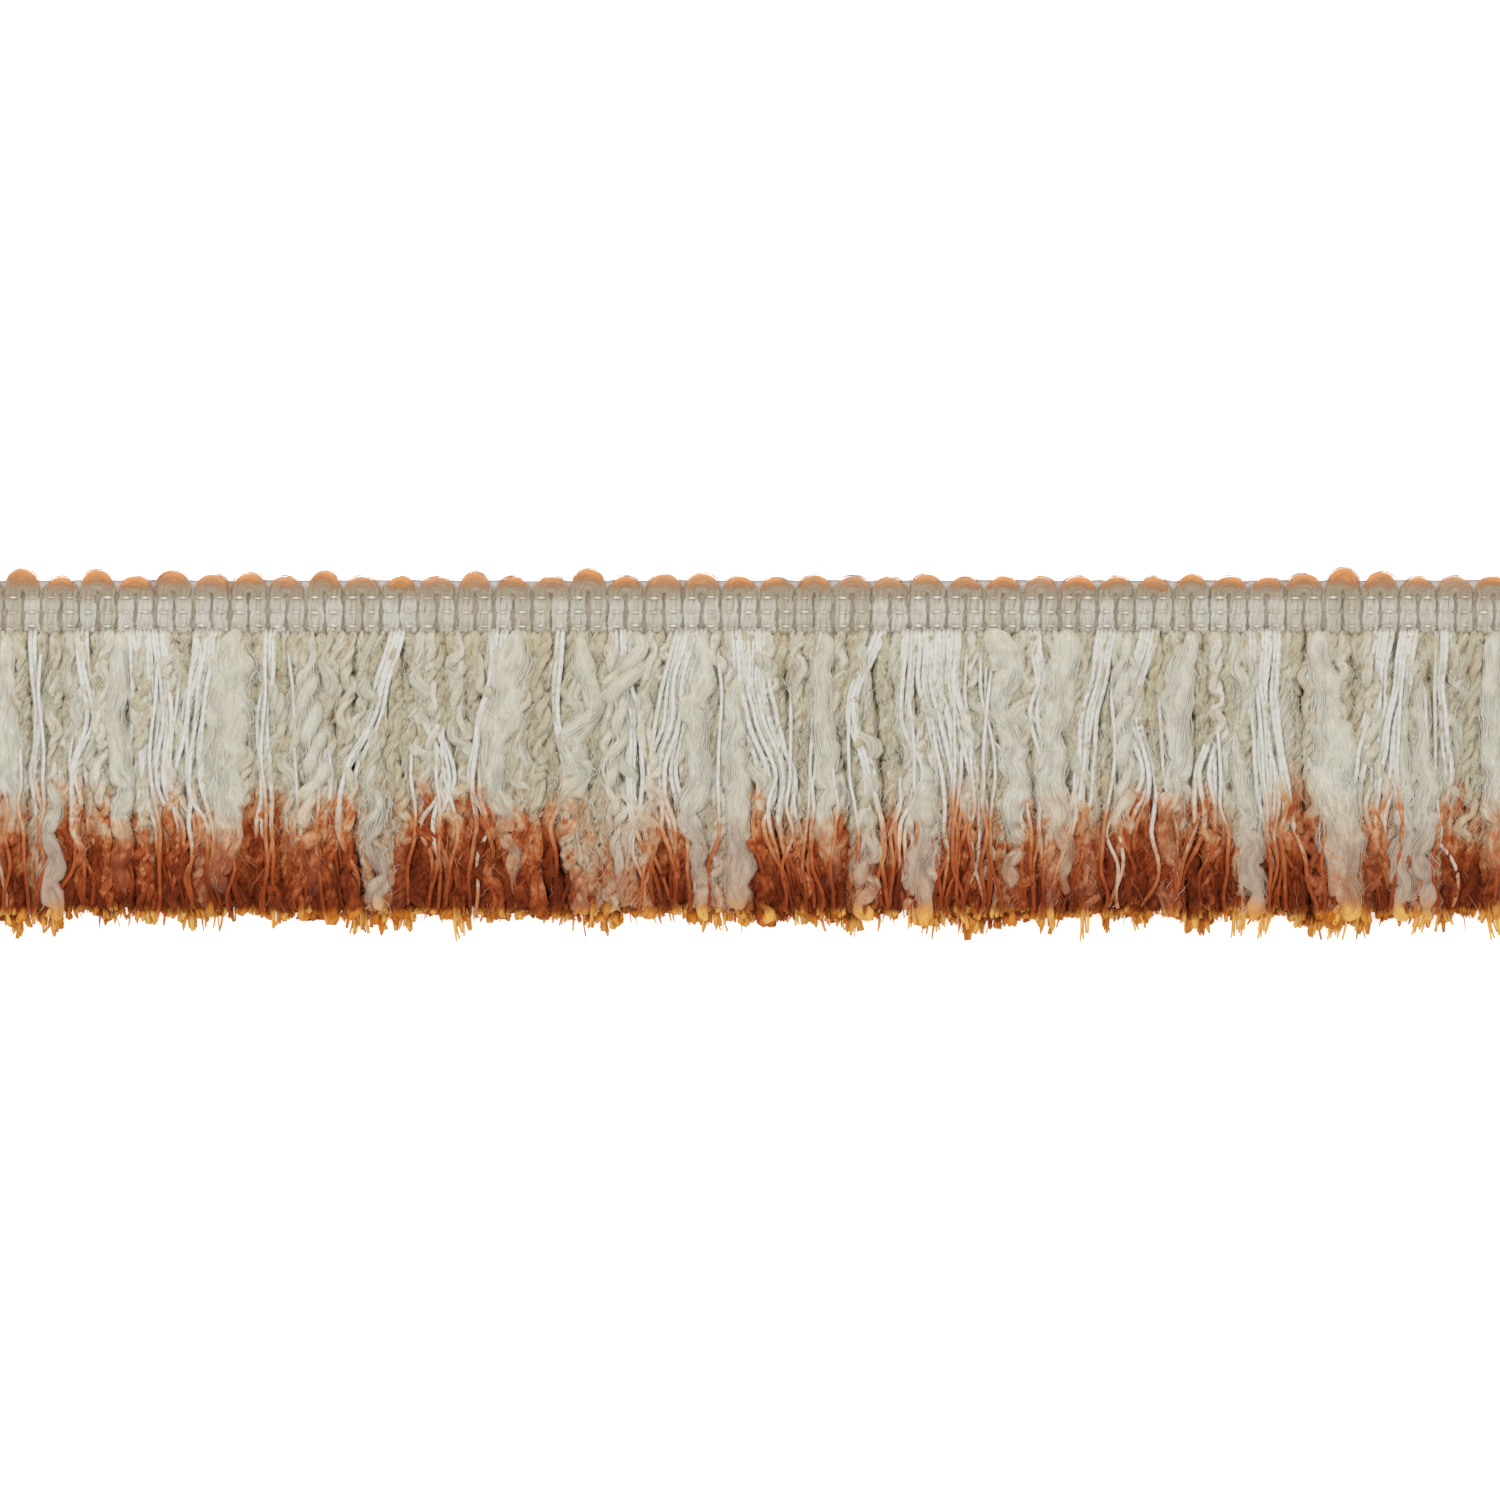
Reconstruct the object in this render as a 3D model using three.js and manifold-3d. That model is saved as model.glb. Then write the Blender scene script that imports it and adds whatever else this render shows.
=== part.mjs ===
// A cut length of brush fringe trim, lying face up.
//
// A weft of mixed yarns runs to and fro across a narrow woven heading. At the top edge it turns in
// a row of soft loops, two heading ribs to a loop, and below the heading it hangs as a long cut
// skirt of crinkled locks, soft slubs and smooth cords. Millimetres, +Z up: X runs along the trim,
// +Y points to the loops and the skirt lies towards -Y. The origin is the middle of the heading's
// underside.
import * as THREE from "three";
import { mergeVertices } from "three/addons/utils/BufferGeometryUtils.js";
import Module from "manifold-3d";

const wasm = await Module();
wasm.setup();

// Driving dimensions.
const LOOP_COUNT = 42;
const LOOP_PITCH = 7.55;
const LENGTH = LOOP_COUNT * LOOP_PITCH;
const GAP = 0.3; // between pieces that touch on the real trim

// The woven heading: a ribbed band with a thin selvedge that the loops lie on.
const HEADING_TOP = 5.2;
const HEADING_BOTTOM = -5.2;
const RIB_COUNT = 2 * LOOP_COUNT;
const RIB_PITCH = LENGTH / RIB_COUNT;
const RIB_TOP = 2.6; // where the ribs end and the selvedge begins
const RIB_HEIGHT = 3.0;
const RIB_CROWN = 0.5; // flat share of a rib's width
const VALLEY_HEIGHT = 2.0;
const SELVEDGE_HEIGHT = 0.8;

// The threads that bind the ribs down.
const BINDING_ROWS = [1.7, -1.2, -4.4]; // Y of each row
const BINDING_WIDTH = 0.8;
const BINDING_HEIGHT = 0.45;

// One turn of the weft at the top edge.
const LOOP_SPREAD = 2.0; // half the width of the turn's centreline
const LOOP_REACH = 1.4; // height of the turn's centreline
const LOOP_FOOT = 0.1; // straight part of every loop
const LOOP_HALF_WIDTH = 1.45;
const LOOP_HALF_HEIGHT = 1.2;
const LOOP_SIDES = 6;
const LOOP_STEPS = 5;
const LOOP_RISE = 0.2; // most that an even loop stands higher than another
// Loops that stand higher than the even ones, counted from the left end.
const TALL_LOOPS = [
  { loop: 2, rise: 1.6 },
  { loop: 4, rise: 1.4 },
  { loop: 6, rise: 1.2 },
  { loop: 7, rise: 0.6 },
  { loop: 8, rise: 0.7 },
  { loop: 10, rise: 1.2 },
  { loop: 14, rise: 1.0 },
  { loop: 17, rise: 1.6 },
  { loop: 19, rise: 0.6 },
  { loop: 20, rise: 0.7 },
  { loop: 23, rise: 0.4 },
  { loop: 26, rise: 0.6 },
  { loop: 33, rise: 0.6 },
  { loop: 36, rise: 0.6 },
  { loop: 37, rise: 1.8 },
  { loop: 38, rise: 1.0 },
];

// The skirt hangs from three narrow strips, one above another, just below the heading.
const STRIP_TOP = HEADING_BOTTOM - GAP;
const STRIP_BOTTOM = STRIP_TOP - 1.5;
const ROOT_Y = STRIP_BOTTOM + 0.1; // strands start inside their strip
const FULL_Y = -12; // from here down a layer has its full height
const SKIRT_Y = -61.8; // down to here the skirt is full
const TIP_SPREAD = 4.6; // most that a cut end hangs below that line
const TIP_POWER = 3; // few ends hang far below it
const END_MARGIN = 0.4; // the skirt stays this far inside the trim's cut ends
const LAYERS = {
  back: { strip: [0, 1.2], full: [0, 2.2], tip: [0, 1.5] },
  middle: { strip: [1.6, 2.4], full: [2.6, 4.8], tip: [2.6, 4.0] },
  front: { strip: [2.8, 3.4], full: [5.2, 6.2], tip: [5.2, 6.0] },
};

// The soft slubs of the middle layer: X of the middle, and width.
const SLUBS = [
  { x: -142.2, width: 5.2 },
  { x: -107.2, width: 9.0 },
  { x: -78.2, width: 5.0 },
  { x: -52.1, width: 8.2 },
  { x: -27.2, width: 7.0 },
  { x: -12.6, width: 6.0 },
  { x: -5.8, width: 6.0 },
  { x: 49.4, width: 7.4 },
  { x: 58.2, width: 6.4 },
  { x: 82.8, width: 6.8 },
  { x: 97.8, width: 5.6 },
  { x: 113.4, width: 9.2 },
  { x: 132.0, width: 6.0 },
];
const LOCK_WIDTH = 4.6; // of the crinkled locks between the slubs
const LOCK_GAP = 0.45;
const LOCK_INSET = 0.2; // share of a lock's width by which each side of its top stands in
const BACK_SEGMENTS = 5;
const MIDDLE_SEGMENTS = 6;
const CORD_SEGMENTS = 6;
const BACK_SALT = 2; // starts of the layers' own rows of cut ends
const MIDDLE_SALT = 3;
const FRONT_SALT = 5;

// The smooth cords of the front layer: X of each cluster's middle at four heights, and its cords.
const CLUSTERS = [
  { root: -156.0, knee: -155.6, belly: -156.2, tip: -155.8, cords: 3 },
  { root: -147.2, knee: -146.8, belly: -147.6, tip: -147.2, cords: 3 },
  { root: -136.2, knee: -135.6, belly: -136.8, tip: -136.4, cords: 3 },
  { root: -123.2, knee: -120.2, belly: -118.8, tip: -117.2, cords: 5 },
  { root: -111.8, knee: -112.2, belly: -112.2, tip: -109.6, cords: 4 },
  { root: -98.2, knee: -99.6, belly: -98.8, tip: -97.2, cords: 3 },
  { root: -74.8, knee: -77.2, belly: -85.2, tip: -84.8, cords: 5 },
  { root: -67.6, knee: -69.2, belly: -66.8, tip: -65.2, cords: 4 },
  { root: -53.6, knee: -55.2, belly: -56.4, tip: -56.8, cords: 3 },
  { root: -42.0, knee: -42.8, belly: -41.2, tip: -40.2, cords: 2 },
  { root: -29.2, knee: -28.2, belly: -29.6, tip: -27.6, cords: 3 },
  { root: -14.8, knee: -18.8, belly: -20.4, tip: -17.2, cords: 5 },
  { root: -2.8, knee: -1.2, belly: 2.8, tip: 6.8, cords: 6 },
  { root: 22.8, knee: 18.4, belly: 21.2, tip: 23.8, cords: 3 },
  { root: 29.8, knee: 29.2, belly: 29.2, tip: 33.8, cords: 4 },
  { root: 37.8, knee: 36.8, belly: 37.8, tip: 43.8, cords: 6 },
  { root: 53.8, knee: 54.8, belly: 55.8, tip: 53.8, cords: 2 },
  { root: 68.2, knee: 65.2, belly: 63.6, tip: 61.2, cords: 3 },
  { root: 76.8, knee: 74.4, belly: 77.2, tip: 72.8, cords: 4 },
  { root: 87.8, knee: 88.8, belly: 86.8, tip: 87.8, cords: 4 },
  { root: 99.2, knee: 98.4, belly: 101.8, tip: 105.2, cords: 5 },
  { root: 123.8, knee: 118.8, belly: 118.4, tip: 123.8, cords: 5 },
  { root: 129.8, knee: 126.8, belly: 125.8, tip: 131.8, cords: 3 },
  { root: 140.8, knee: 139.8, belly: 139.2, tip: 140.8, cords: 3 },
  { root: 152.4, knee: 151.8, belly: 152.6, tip: 152.0, cords: 3 },
];
const CLUSTER_Y = { root: -6.8, knee: -18.8, belly: -34.8, tip: -58.8 };
const CORD_PITCH = { root: 1.4, knee: 1.35, belly: 1.45, tip: 1.7 };
const CORD_WIDTH = 1.0;

// How the yarns drift sideways as they hang: height and length in X, and turns down the skirt.
const DRIFTS = [
  { height: 1.5, length: 47, turns: 0.9, phase: 0.6 },
  { height: 0.8, length: 21, turns: 1.7, phase: 2.1 },
];
const HOLD_POWER = 8; // how closely the straight hang keeps to the trim's two cut ends

const COLOURS = {
  heading: 0xc4bba6,
  binding: 0xdedad0,
  loop: 0xc7977a,
  back: 0xb99b7d,
  middle: 0xcabfa9,
  front: 0xd9d4c8,
};

function material(colour) {
  return new THREE.MeshStandardMaterial({ color: colour, roughness: 0.9, metalness: 0 });
}

function namedMesh(name, geometry, colour) {
  const mesh = new THREE.Mesh(geometry, material(colour));
  mesh.name = name;
  return mesh;
}

// A repeatable number from 0 to 1 for each whole number, so that copies differ.
function scatter(index, salt) {
  const value = Math.sin(index * 12.9898 + salt * 78.233) * 43758.5453;
  return value - Math.floor(value);
}

// Closed surface through rings of equal point counts, with a flat cap at each end.
function loft(rings) {
  const sides = rings[0].length;
  const positions = rings.flat(2);
  const faces = [];
  for (let r = 0; r < rings.length - 1; r += 1) {
    for (let s = 0; s < sides; s += 1) {
      const a = r * sides + s;
      const b = r * sides + ((s + 1) % sides);
      faces.push(a, b, b + sides, a, b + sides, a + sides);
    }
  }
  const last = (rings.length - 1) * sides;
  for (let s = 1; s < sides - 1; s += 1) {
    faces.push(0, s + 1, s);
    faces.push(last, last + s, last + s + 1);
  }
  const geometry = new THREE.BufferGeometry();
  geometry.setAttribute("position", new THREE.Float32BufferAttribute(positions, 3));
  geometry.setIndex(faces);
  return geometry;
}

function solidOf(geometry) {
  const bare = new THREE.BufferGeometry();
  bare.setAttribute("position", geometry.getAttribute("position"));
  bare.setIndex(geometry.index);
  const merged = mergeVertices(bare);
  return new wasm.Manifold(
    new wasm.Mesh({
      numProp: 3,
      vertProperties: merged.attributes.position.array,
      triVerts: new Uint32Array(merged.index.array),
    }),
  );
}

function geometryOf(solid) {
  const mesh = solid.getMesh();
  const geometry = new THREE.BufferGeometry();
  geometry.setAttribute("position", new THREE.BufferAttribute(mesh.vertProperties, mesh.numProp));
  geometry.setIndex(new THREE.BufferAttribute(mesh.triVerts, 1));
  geometry.computeVertexNormals();
  return geometry;
}

// The ribbed band: one profile along X, drawn in X and Z, and pushed along Y.
function headingGeometry() {
  const profile = new THREE.Shape();
  const left = -LENGTH / 2;
  profile.moveTo(left, 0);
  profile.lineTo(left + LENGTH, 0);
  profile.lineTo(left + LENGTH, VALLEY_HEIGHT);
  for (let rib = RIB_COUNT - 1; rib >= 0; rib -= 1) {
    const middle = left + (rib + 0.5) * RIB_PITCH;
    const crown = (RIB_CROWN * RIB_PITCH) / 2;
    profile.lineTo(middle + crown, RIB_HEIGHT);
    profile.lineTo(middle - crown, RIB_HEIGHT);
    profile.lineTo(left + rib * RIB_PITCH, VALLEY_HEIGHT);
  }
  const ribs = new THREE.ExtrudeGeometry(profile, {
    depth: RIB_TOP - HEADING_BOTTOM,
    bevelEnabled: false,
  });
  ribs.rotateX(Math.PI / 2);
  ribs.translate(0, RIB_TOP, 0);
  const selvedge = new THREE.BoxGeometry(LENGTH, HEADING_TOP - HEADING_BOTTOM, SELVEDGE_HEIGHT);
  selvedge.translate(0, (HEADING_TOP + HEADING_BOTTOM) / 2, SELVEDGE_HEIGHT / 2);
  return geometryOf(solidOf(ribs).add(solidOf(selvedge)));
}

function heading() {
  return namedMesh("heading", headingGeometry(), COLOURS.heading);
}

function bindings() {
  const group = new THREE.Group();
  BINDING_ROWS.forEach((y, row) => {
    const thread = new THREE.BoxGeometry(LENGTH, BINDING_WIDTH, BINDING_HEIGHT);
    const mesh = namedMesh(`binding_${row + 1}`, thread, COLOURS.binding);
    mesh.position.set(0, y, RIB_HEIGHT + GAP + BINDING_HEIGHT / 2);
    group.add(mesh);
  });
  return group;
}

function loopRise(loop) {
  const tall = TALL_LOOPS.find((row) => row.loop === loop);
  return tall ? tall.rise : LOOP_RISE * scatter(loop, 1);
}

// A flattened tube that comes up one rib, turns over and goes down the next.
function loopGeometry(rise) {
  const points = [new THREE.Vector3(-LOOP_SPREAD, 0, 0)];
  for (let step = 0; step <= LOOP_STEPS; step += 1) {
    const angle = Math.PI * (1 - step / LOOP_STEPS);
    const x = LOOP_SPREAD * Math.cos(angle);
    points.push(new THREE.Vector3(x, LOOP_FOOT + rise + LOOP_REACH * Math.sin(angle), 0));
  }
  points.push(new THREE.Vector3(LOOP_SPREAD, 0, 0));
  const section = new THREE.Shape();
  for (let side = 0; side < LOOP_SIDES; side += 1) {
    const angle = (2 * Math.PI * side) / LOOP_SIDES;
    const x = LOOP_HALF_HEIGHT * Math.cos(angle);
    const y = LOOP_HALF_WIDTH * Math.sin(angle);
    if (side === 0) section.moveTo(x, y);
    else section.lineTo(x, y);
  }
  return new THREE.ExtrudeGeometry(section, {
    steps: LOOP_STEPS,
    extrudePath: new THREE.CatmullRomCurve3(points, false, "centripetal"),
  });
}

function edgeLoops() {
  const group = new THREE.Group();
  group.position.set(-LENGTH / 2, RIB_TOP + GAP, SELVEDGE_HEIGHT + GAP + LOOP_HALF_HEIGHT);
  for (let loop = 1; loop <= LOOP_COUNT; loop += 1) {
    const name = `edge_loop_${String(loop).padStart(2, "0")}`;
    const mesh = namedMesh(name, loopGeometry(loopRise(loop)), COLOURS.loop);
    mesh.position.x = (loop - 0.5) * LOOP_PITCH;
    group.add(mesh);
  }
  return group;
}

// Share of the way from the strip, at 0, to the line of the cut ends, at 1.
function hang(y) {
  return (ROOT_Y - y) / (ROOT_Y - SKIRT_Y);
}

// Where a point of the skirt's top edge has drifted to by height y. It never lets two points cross.
function drifted(x, y) {
  const down = hang(y);
  const away = 1 - Math.pow((2 * x) / LENGTH, HOLD_POWER);
  let moved = x;
  for (const wave of DRIFTS) {
    const start = (2 * Math.PI * x) / wave.length + wave.phase;
    const turned = start + 2 * Math.PI * wave.turns * down;
    moved += (wave.height / 2) * away * (Math.sin(turned) - Math.sin(start));
  }
  return moved;
}

function levelsAt(layer, y, tipY) {
  if (y >= FULL_Y) {
    const share = THREE.MathUtils.clamp((STRIP_BOTTOM - y) / (STRIP_BOTTOM - FULL_Y), 0, 1);
    return [0, 1].map((k) => THREE.MathUtils.lerp(layer.strip[k], layer.full[k], share));
  }
  return y <= tipY ? layer.tip : layer.full;
}

// A strand of three or four sides: a level base, and a ridge or a narrower top.
function strandSolid(layer, heights, edgesAt, sides) {
  const tipY = heights[heights.length - 1];
  const rings = heights.map((y) => {
    const [left, right] = edgesAt(y);
    const [low, high] = levelsAt(layer, y, tipY);
    const inset = LOCK_INSET * (right - left);
    const base = [
      [left, y, low],
      [right, y, low],
    ];
    if (sides === 3) return [...base, [(left + right) / 2, y, high]];
    return [...base, [right - inset, y, high], [left + inset, y, high]];
  });
  return solidOf(loft(rings));
}

function strandHeights(segments, tipY) {
  const heights = [ROOT_Y, FULL_Y];
  for (let k = 1; k < segments; k += 1) {
    heights.push(FULL_Y + ((tipY - FULL_Y) * k) / (segments - 1));
  }
  return heights;
}

function tipOf(index, salt) {
  return SKIRT_Y - TIP_SPREAD * Math.pow(scatter(index, salt), TIP_POWER);
}

function stripSolid(layer) {
  const [low, high] = layer.strip;
  const strip = new THREE.BoxGeometry(LENGTH, STRIP_TOP - STRIP_BOTTOM, high - low);
  strip.translate(0, (STRIP_TOP + STRIP_BOTTOM) / 2, (low + high) / 2);
  return solidOf(strip);
}

function fringeMesh(name, layer, strands, colour) {
  const joined = wasm.Manifold.union([stripSolid(layer), ...strands]);
  return namedMesh(name, geometryOf(joined), colour);
}

// Locks side by side between the given edges, which drift together down the skirt.
function lockSolids(layer, edges, segments, sides, salt) {
  return edges.slice(0, -1).map((edge, index) => {
    const heights = strandHeights(segments, tipOf(index, salt));
    const edgesAt = (y) => [
      drifted(edge, y) + LOCK_GAP / 2,
      drifted(edges[index + 1], y) - LOCK_GAP / 2,
    ];
    return strandSolid(layer, heights, edgesAt, sides);
  });
}

// One lock of the back layer to each heading rib.
function backFringe() {
  const first = -LENGTH / 2 + END_MARGIN;
  const pitch = (LENGTH - 2 * END_MARGIN) / RIB_COUNT;
  const edges = Array.from({ length: RIB_COUNT + 1 }, (_, k) => first + k * pitch);
  const locks = lockSolids(LAYERS.back, edges, BACK_SEGMENTS, 3, BACK_SALT);
  return fringeMesh("fringe_back", LAYERS.back, locks, COLOURS.back);
}

// The slubs at their places, with even crinkled locks between them.
function middleEdges() {
  const edges = [];
  let from = -LENGTH / 2 + END_MARGIN;
  const fill = (to) => {
    const count = Math.round((to - from) / LOCK_WIDTH);
    for (let k = 0; k < count; k += 1) edges.push(from + ((to - from) * k) / count);
    from = to;
  };
  for (const slub of SLUBS) {
    fill(slub.x - slub.width / 2);
    edges.push(from);
    from = slub.x + slub.width / 2;
  }
  fill(LENGTH / 2 - END_MARGIN);
  edges.push(from);
  return edges;
}

function middleFringe() {
  const locks = lockSolids(LAYERS.middle, middleEdges(), MIDDLE_SEGMENTS, 4, MIDDLE_SALT);
  return fringeMesh("fringe_middle", LAYERS.middle, locks, COLOURS.middle);
}

// A column of the cluster table at height y, eased from one stated height to the next.
function eased(row, y) {
  const stops = Object.keys(CLUSTER_Y);
  const next = stops.findIndex((stop) => CLUSTER_Y[stop] <= y);
  if (next === 0) return row.root;
  if (next < 0) return row.tip;
  const [above, below] = [stops[next - 1], stops[next]];
  const share = THREE.MathUtils.smoothstep(-y, -CLUSTER_Y[above], -CLUSTER_Y[below]);
  return THREE.MathUtils.lerp(row[above], row[below], share);
}

function frontFringe() {
  const cords = CLUSTERS.flatMap((cluster, row) =>
    Array.from({ length: cluster.cords }, (_, cord) => {
      const place = cord - (cluster.cords - 1) / 2;
      const heights = strandHeights(CORD_SEGMENTS, tipOf(cord, row + FRONT_SALT));
      const edgesAt = (y) => {
        const middle = eased(cluster, y) + place * eased(CORD_PITCH, y);
        return [middle - CORD_WIDTH / 2, middle + CORD_WIDTH / 2];
      };
      return strandSolid(LAYERS.front, heights, edgesAt, 3);
    }),
  );
  return fringeMesh("fringe_front", LAYERS.front, cords, COLOURS.front);
}

const trim = new THREE.Group();
trim.add(heading(), bindings(), edgeLoops(), backFringe(), middleFringe(), frontFringe());

export default trim;
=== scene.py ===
import math

import bpy
import numpy as np
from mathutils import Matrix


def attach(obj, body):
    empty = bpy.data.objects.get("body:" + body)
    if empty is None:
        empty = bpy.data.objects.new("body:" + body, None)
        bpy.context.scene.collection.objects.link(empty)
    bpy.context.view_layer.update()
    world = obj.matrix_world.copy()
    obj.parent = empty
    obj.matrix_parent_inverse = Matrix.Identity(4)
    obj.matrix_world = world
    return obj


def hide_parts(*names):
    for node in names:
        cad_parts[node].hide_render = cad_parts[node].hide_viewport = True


# A cut length of brush fringe trim, lying face up on a white floor and seen from straight above.
# Lengths in this script are millimetres, turned into metres where a mesh is made.

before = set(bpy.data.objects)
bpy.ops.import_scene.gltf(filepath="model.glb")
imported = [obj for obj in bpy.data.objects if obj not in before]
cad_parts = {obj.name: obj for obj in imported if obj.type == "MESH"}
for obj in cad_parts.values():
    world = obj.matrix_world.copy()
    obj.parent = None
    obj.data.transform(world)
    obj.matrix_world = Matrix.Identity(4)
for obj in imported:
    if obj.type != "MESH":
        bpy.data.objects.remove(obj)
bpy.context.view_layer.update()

MM = 0.001
LENGTH = 317.1
LOOP_COUNT = 42
LOOP_PITCH = LENGTH / LOOP_COUNT
RIB_COUNT = 2 * LOOP_COUNT
RIB_PITCH = LENGTH / RIB_COUNT
LEFT = -LENGTH / 2
PRESSED = 0.3  # yarns lower than this are pressed against the surface
ROOT_Y = -5.0  # yarns leave the heading here
SKIRT_Y = -60.6  # down to here the skirt is full
END_HOLD = 1.2  # yarns keep this far inside the trim's two cut ends
SKIRT_DEPTH = 57.0  # from the heading to the cut ends
HEADING_HALF = 5.2  # half height of the woven band
BINDING_ROWS = (1.7, -1.2, -4.0)
DYE_START = -35.8  # mean height at which the dye begins
DYE_FULL = -56.6  # and is at its darkest


# Repeatable noise, from 0 to 1, and the same about 0

def scatter(index, salt):
    value = np.sin(np.asarray(index, dtype=float) * 12.9898 + salt * 78.233) * 43758.5453
    return value - np.floor(value)


def noise1(x, salt):
    cell = np.floor(x)
    t = x - cell
    t = t * t * (3 - 2 * t)
    return scatter(cell, salt) * (1 - t) + scatter(cell + 1, salt) * t


def noise2(x, y, salt):
    row = np.floor(y)
    t = y - row
    t = t * t * (3 - 2 * t)
    return noise1(x + 37.7 * row, salt) * (1 - t) + noise1(x + 37.7 * (row + 1), salt) * t


def jitter(index, salt):
    return scatter(index, salt) - 0.5


def drift1(x, salt):
    return noise1(x, salt) - 0.5


def drift2(x, y, salt):
    return noise2(x, y, salt) - 0.5


def smooth(low, high, value):
    t = np.clip((value - low) / (high - low), 0, 1)
    return t * t * (3 - 2 * t)


def joined(*parts):
    """The parts spread to one shape and put side by side as coordinates."""
    return np.stack(np.broadcast_arrays(*parts), -1)


def eased(y, stops, values):
    """Values given at the stops, which fall, joined by smooth curves."""
    stops, values = np.asarray(stops, float)[::-1], np.asarray(values, float)[::-1]
    at = np.clip(np.searchsorted(stops, y, side="right") - 1, 0, len(stops) - 2)
    t = np.clip((y - stops[at]) / (stops[at + 1] - stops[at]), 0, 1)
    slope = np.gradient(values, stops)
    width = stops[at + 1] - stops[at]
    a = (2 * t**3 - 3 * t**2 + 1) * values[at] + (t**3 - 2 * t**2 + t) * width * slope[at]
    return a + (3 * t**2 - 2 * t**3) * values[at + 1] + (t**3 - t**2) * width * slope[at + 1]


# Colour that a yarn takes up along its length

def dye_at(x, y, shift, resist, blotchy=1.0):
    """0 where a yarn is clean, about 1 where the dye is darkest."""
    start = DYE_START + 7.0 * drift1(x / 9.0, 11) + 3.6 * drift1(x / 3.1, 12) + shift
    blotch = 0.46 * drift2(x / 2.6, y / 5.6, 13) + 0.26 * drift2(x / 1.1, y / 3.0, 14)
    amount = (start - y) / (start - DYE_FULL)
    return np.clip(amount + blotchy * blotch * smooth(-0.10, 0.35, amount), 0, 1.1) * (1 - resist)


def amber_glow_at(y, reach, over=2.2):
    """1 at the stiff translucent cut ends, which take the amber colours: a painted glow of light shining
    through them.
    """
    return smooth(0, 1, (reach - y) / over)


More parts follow.
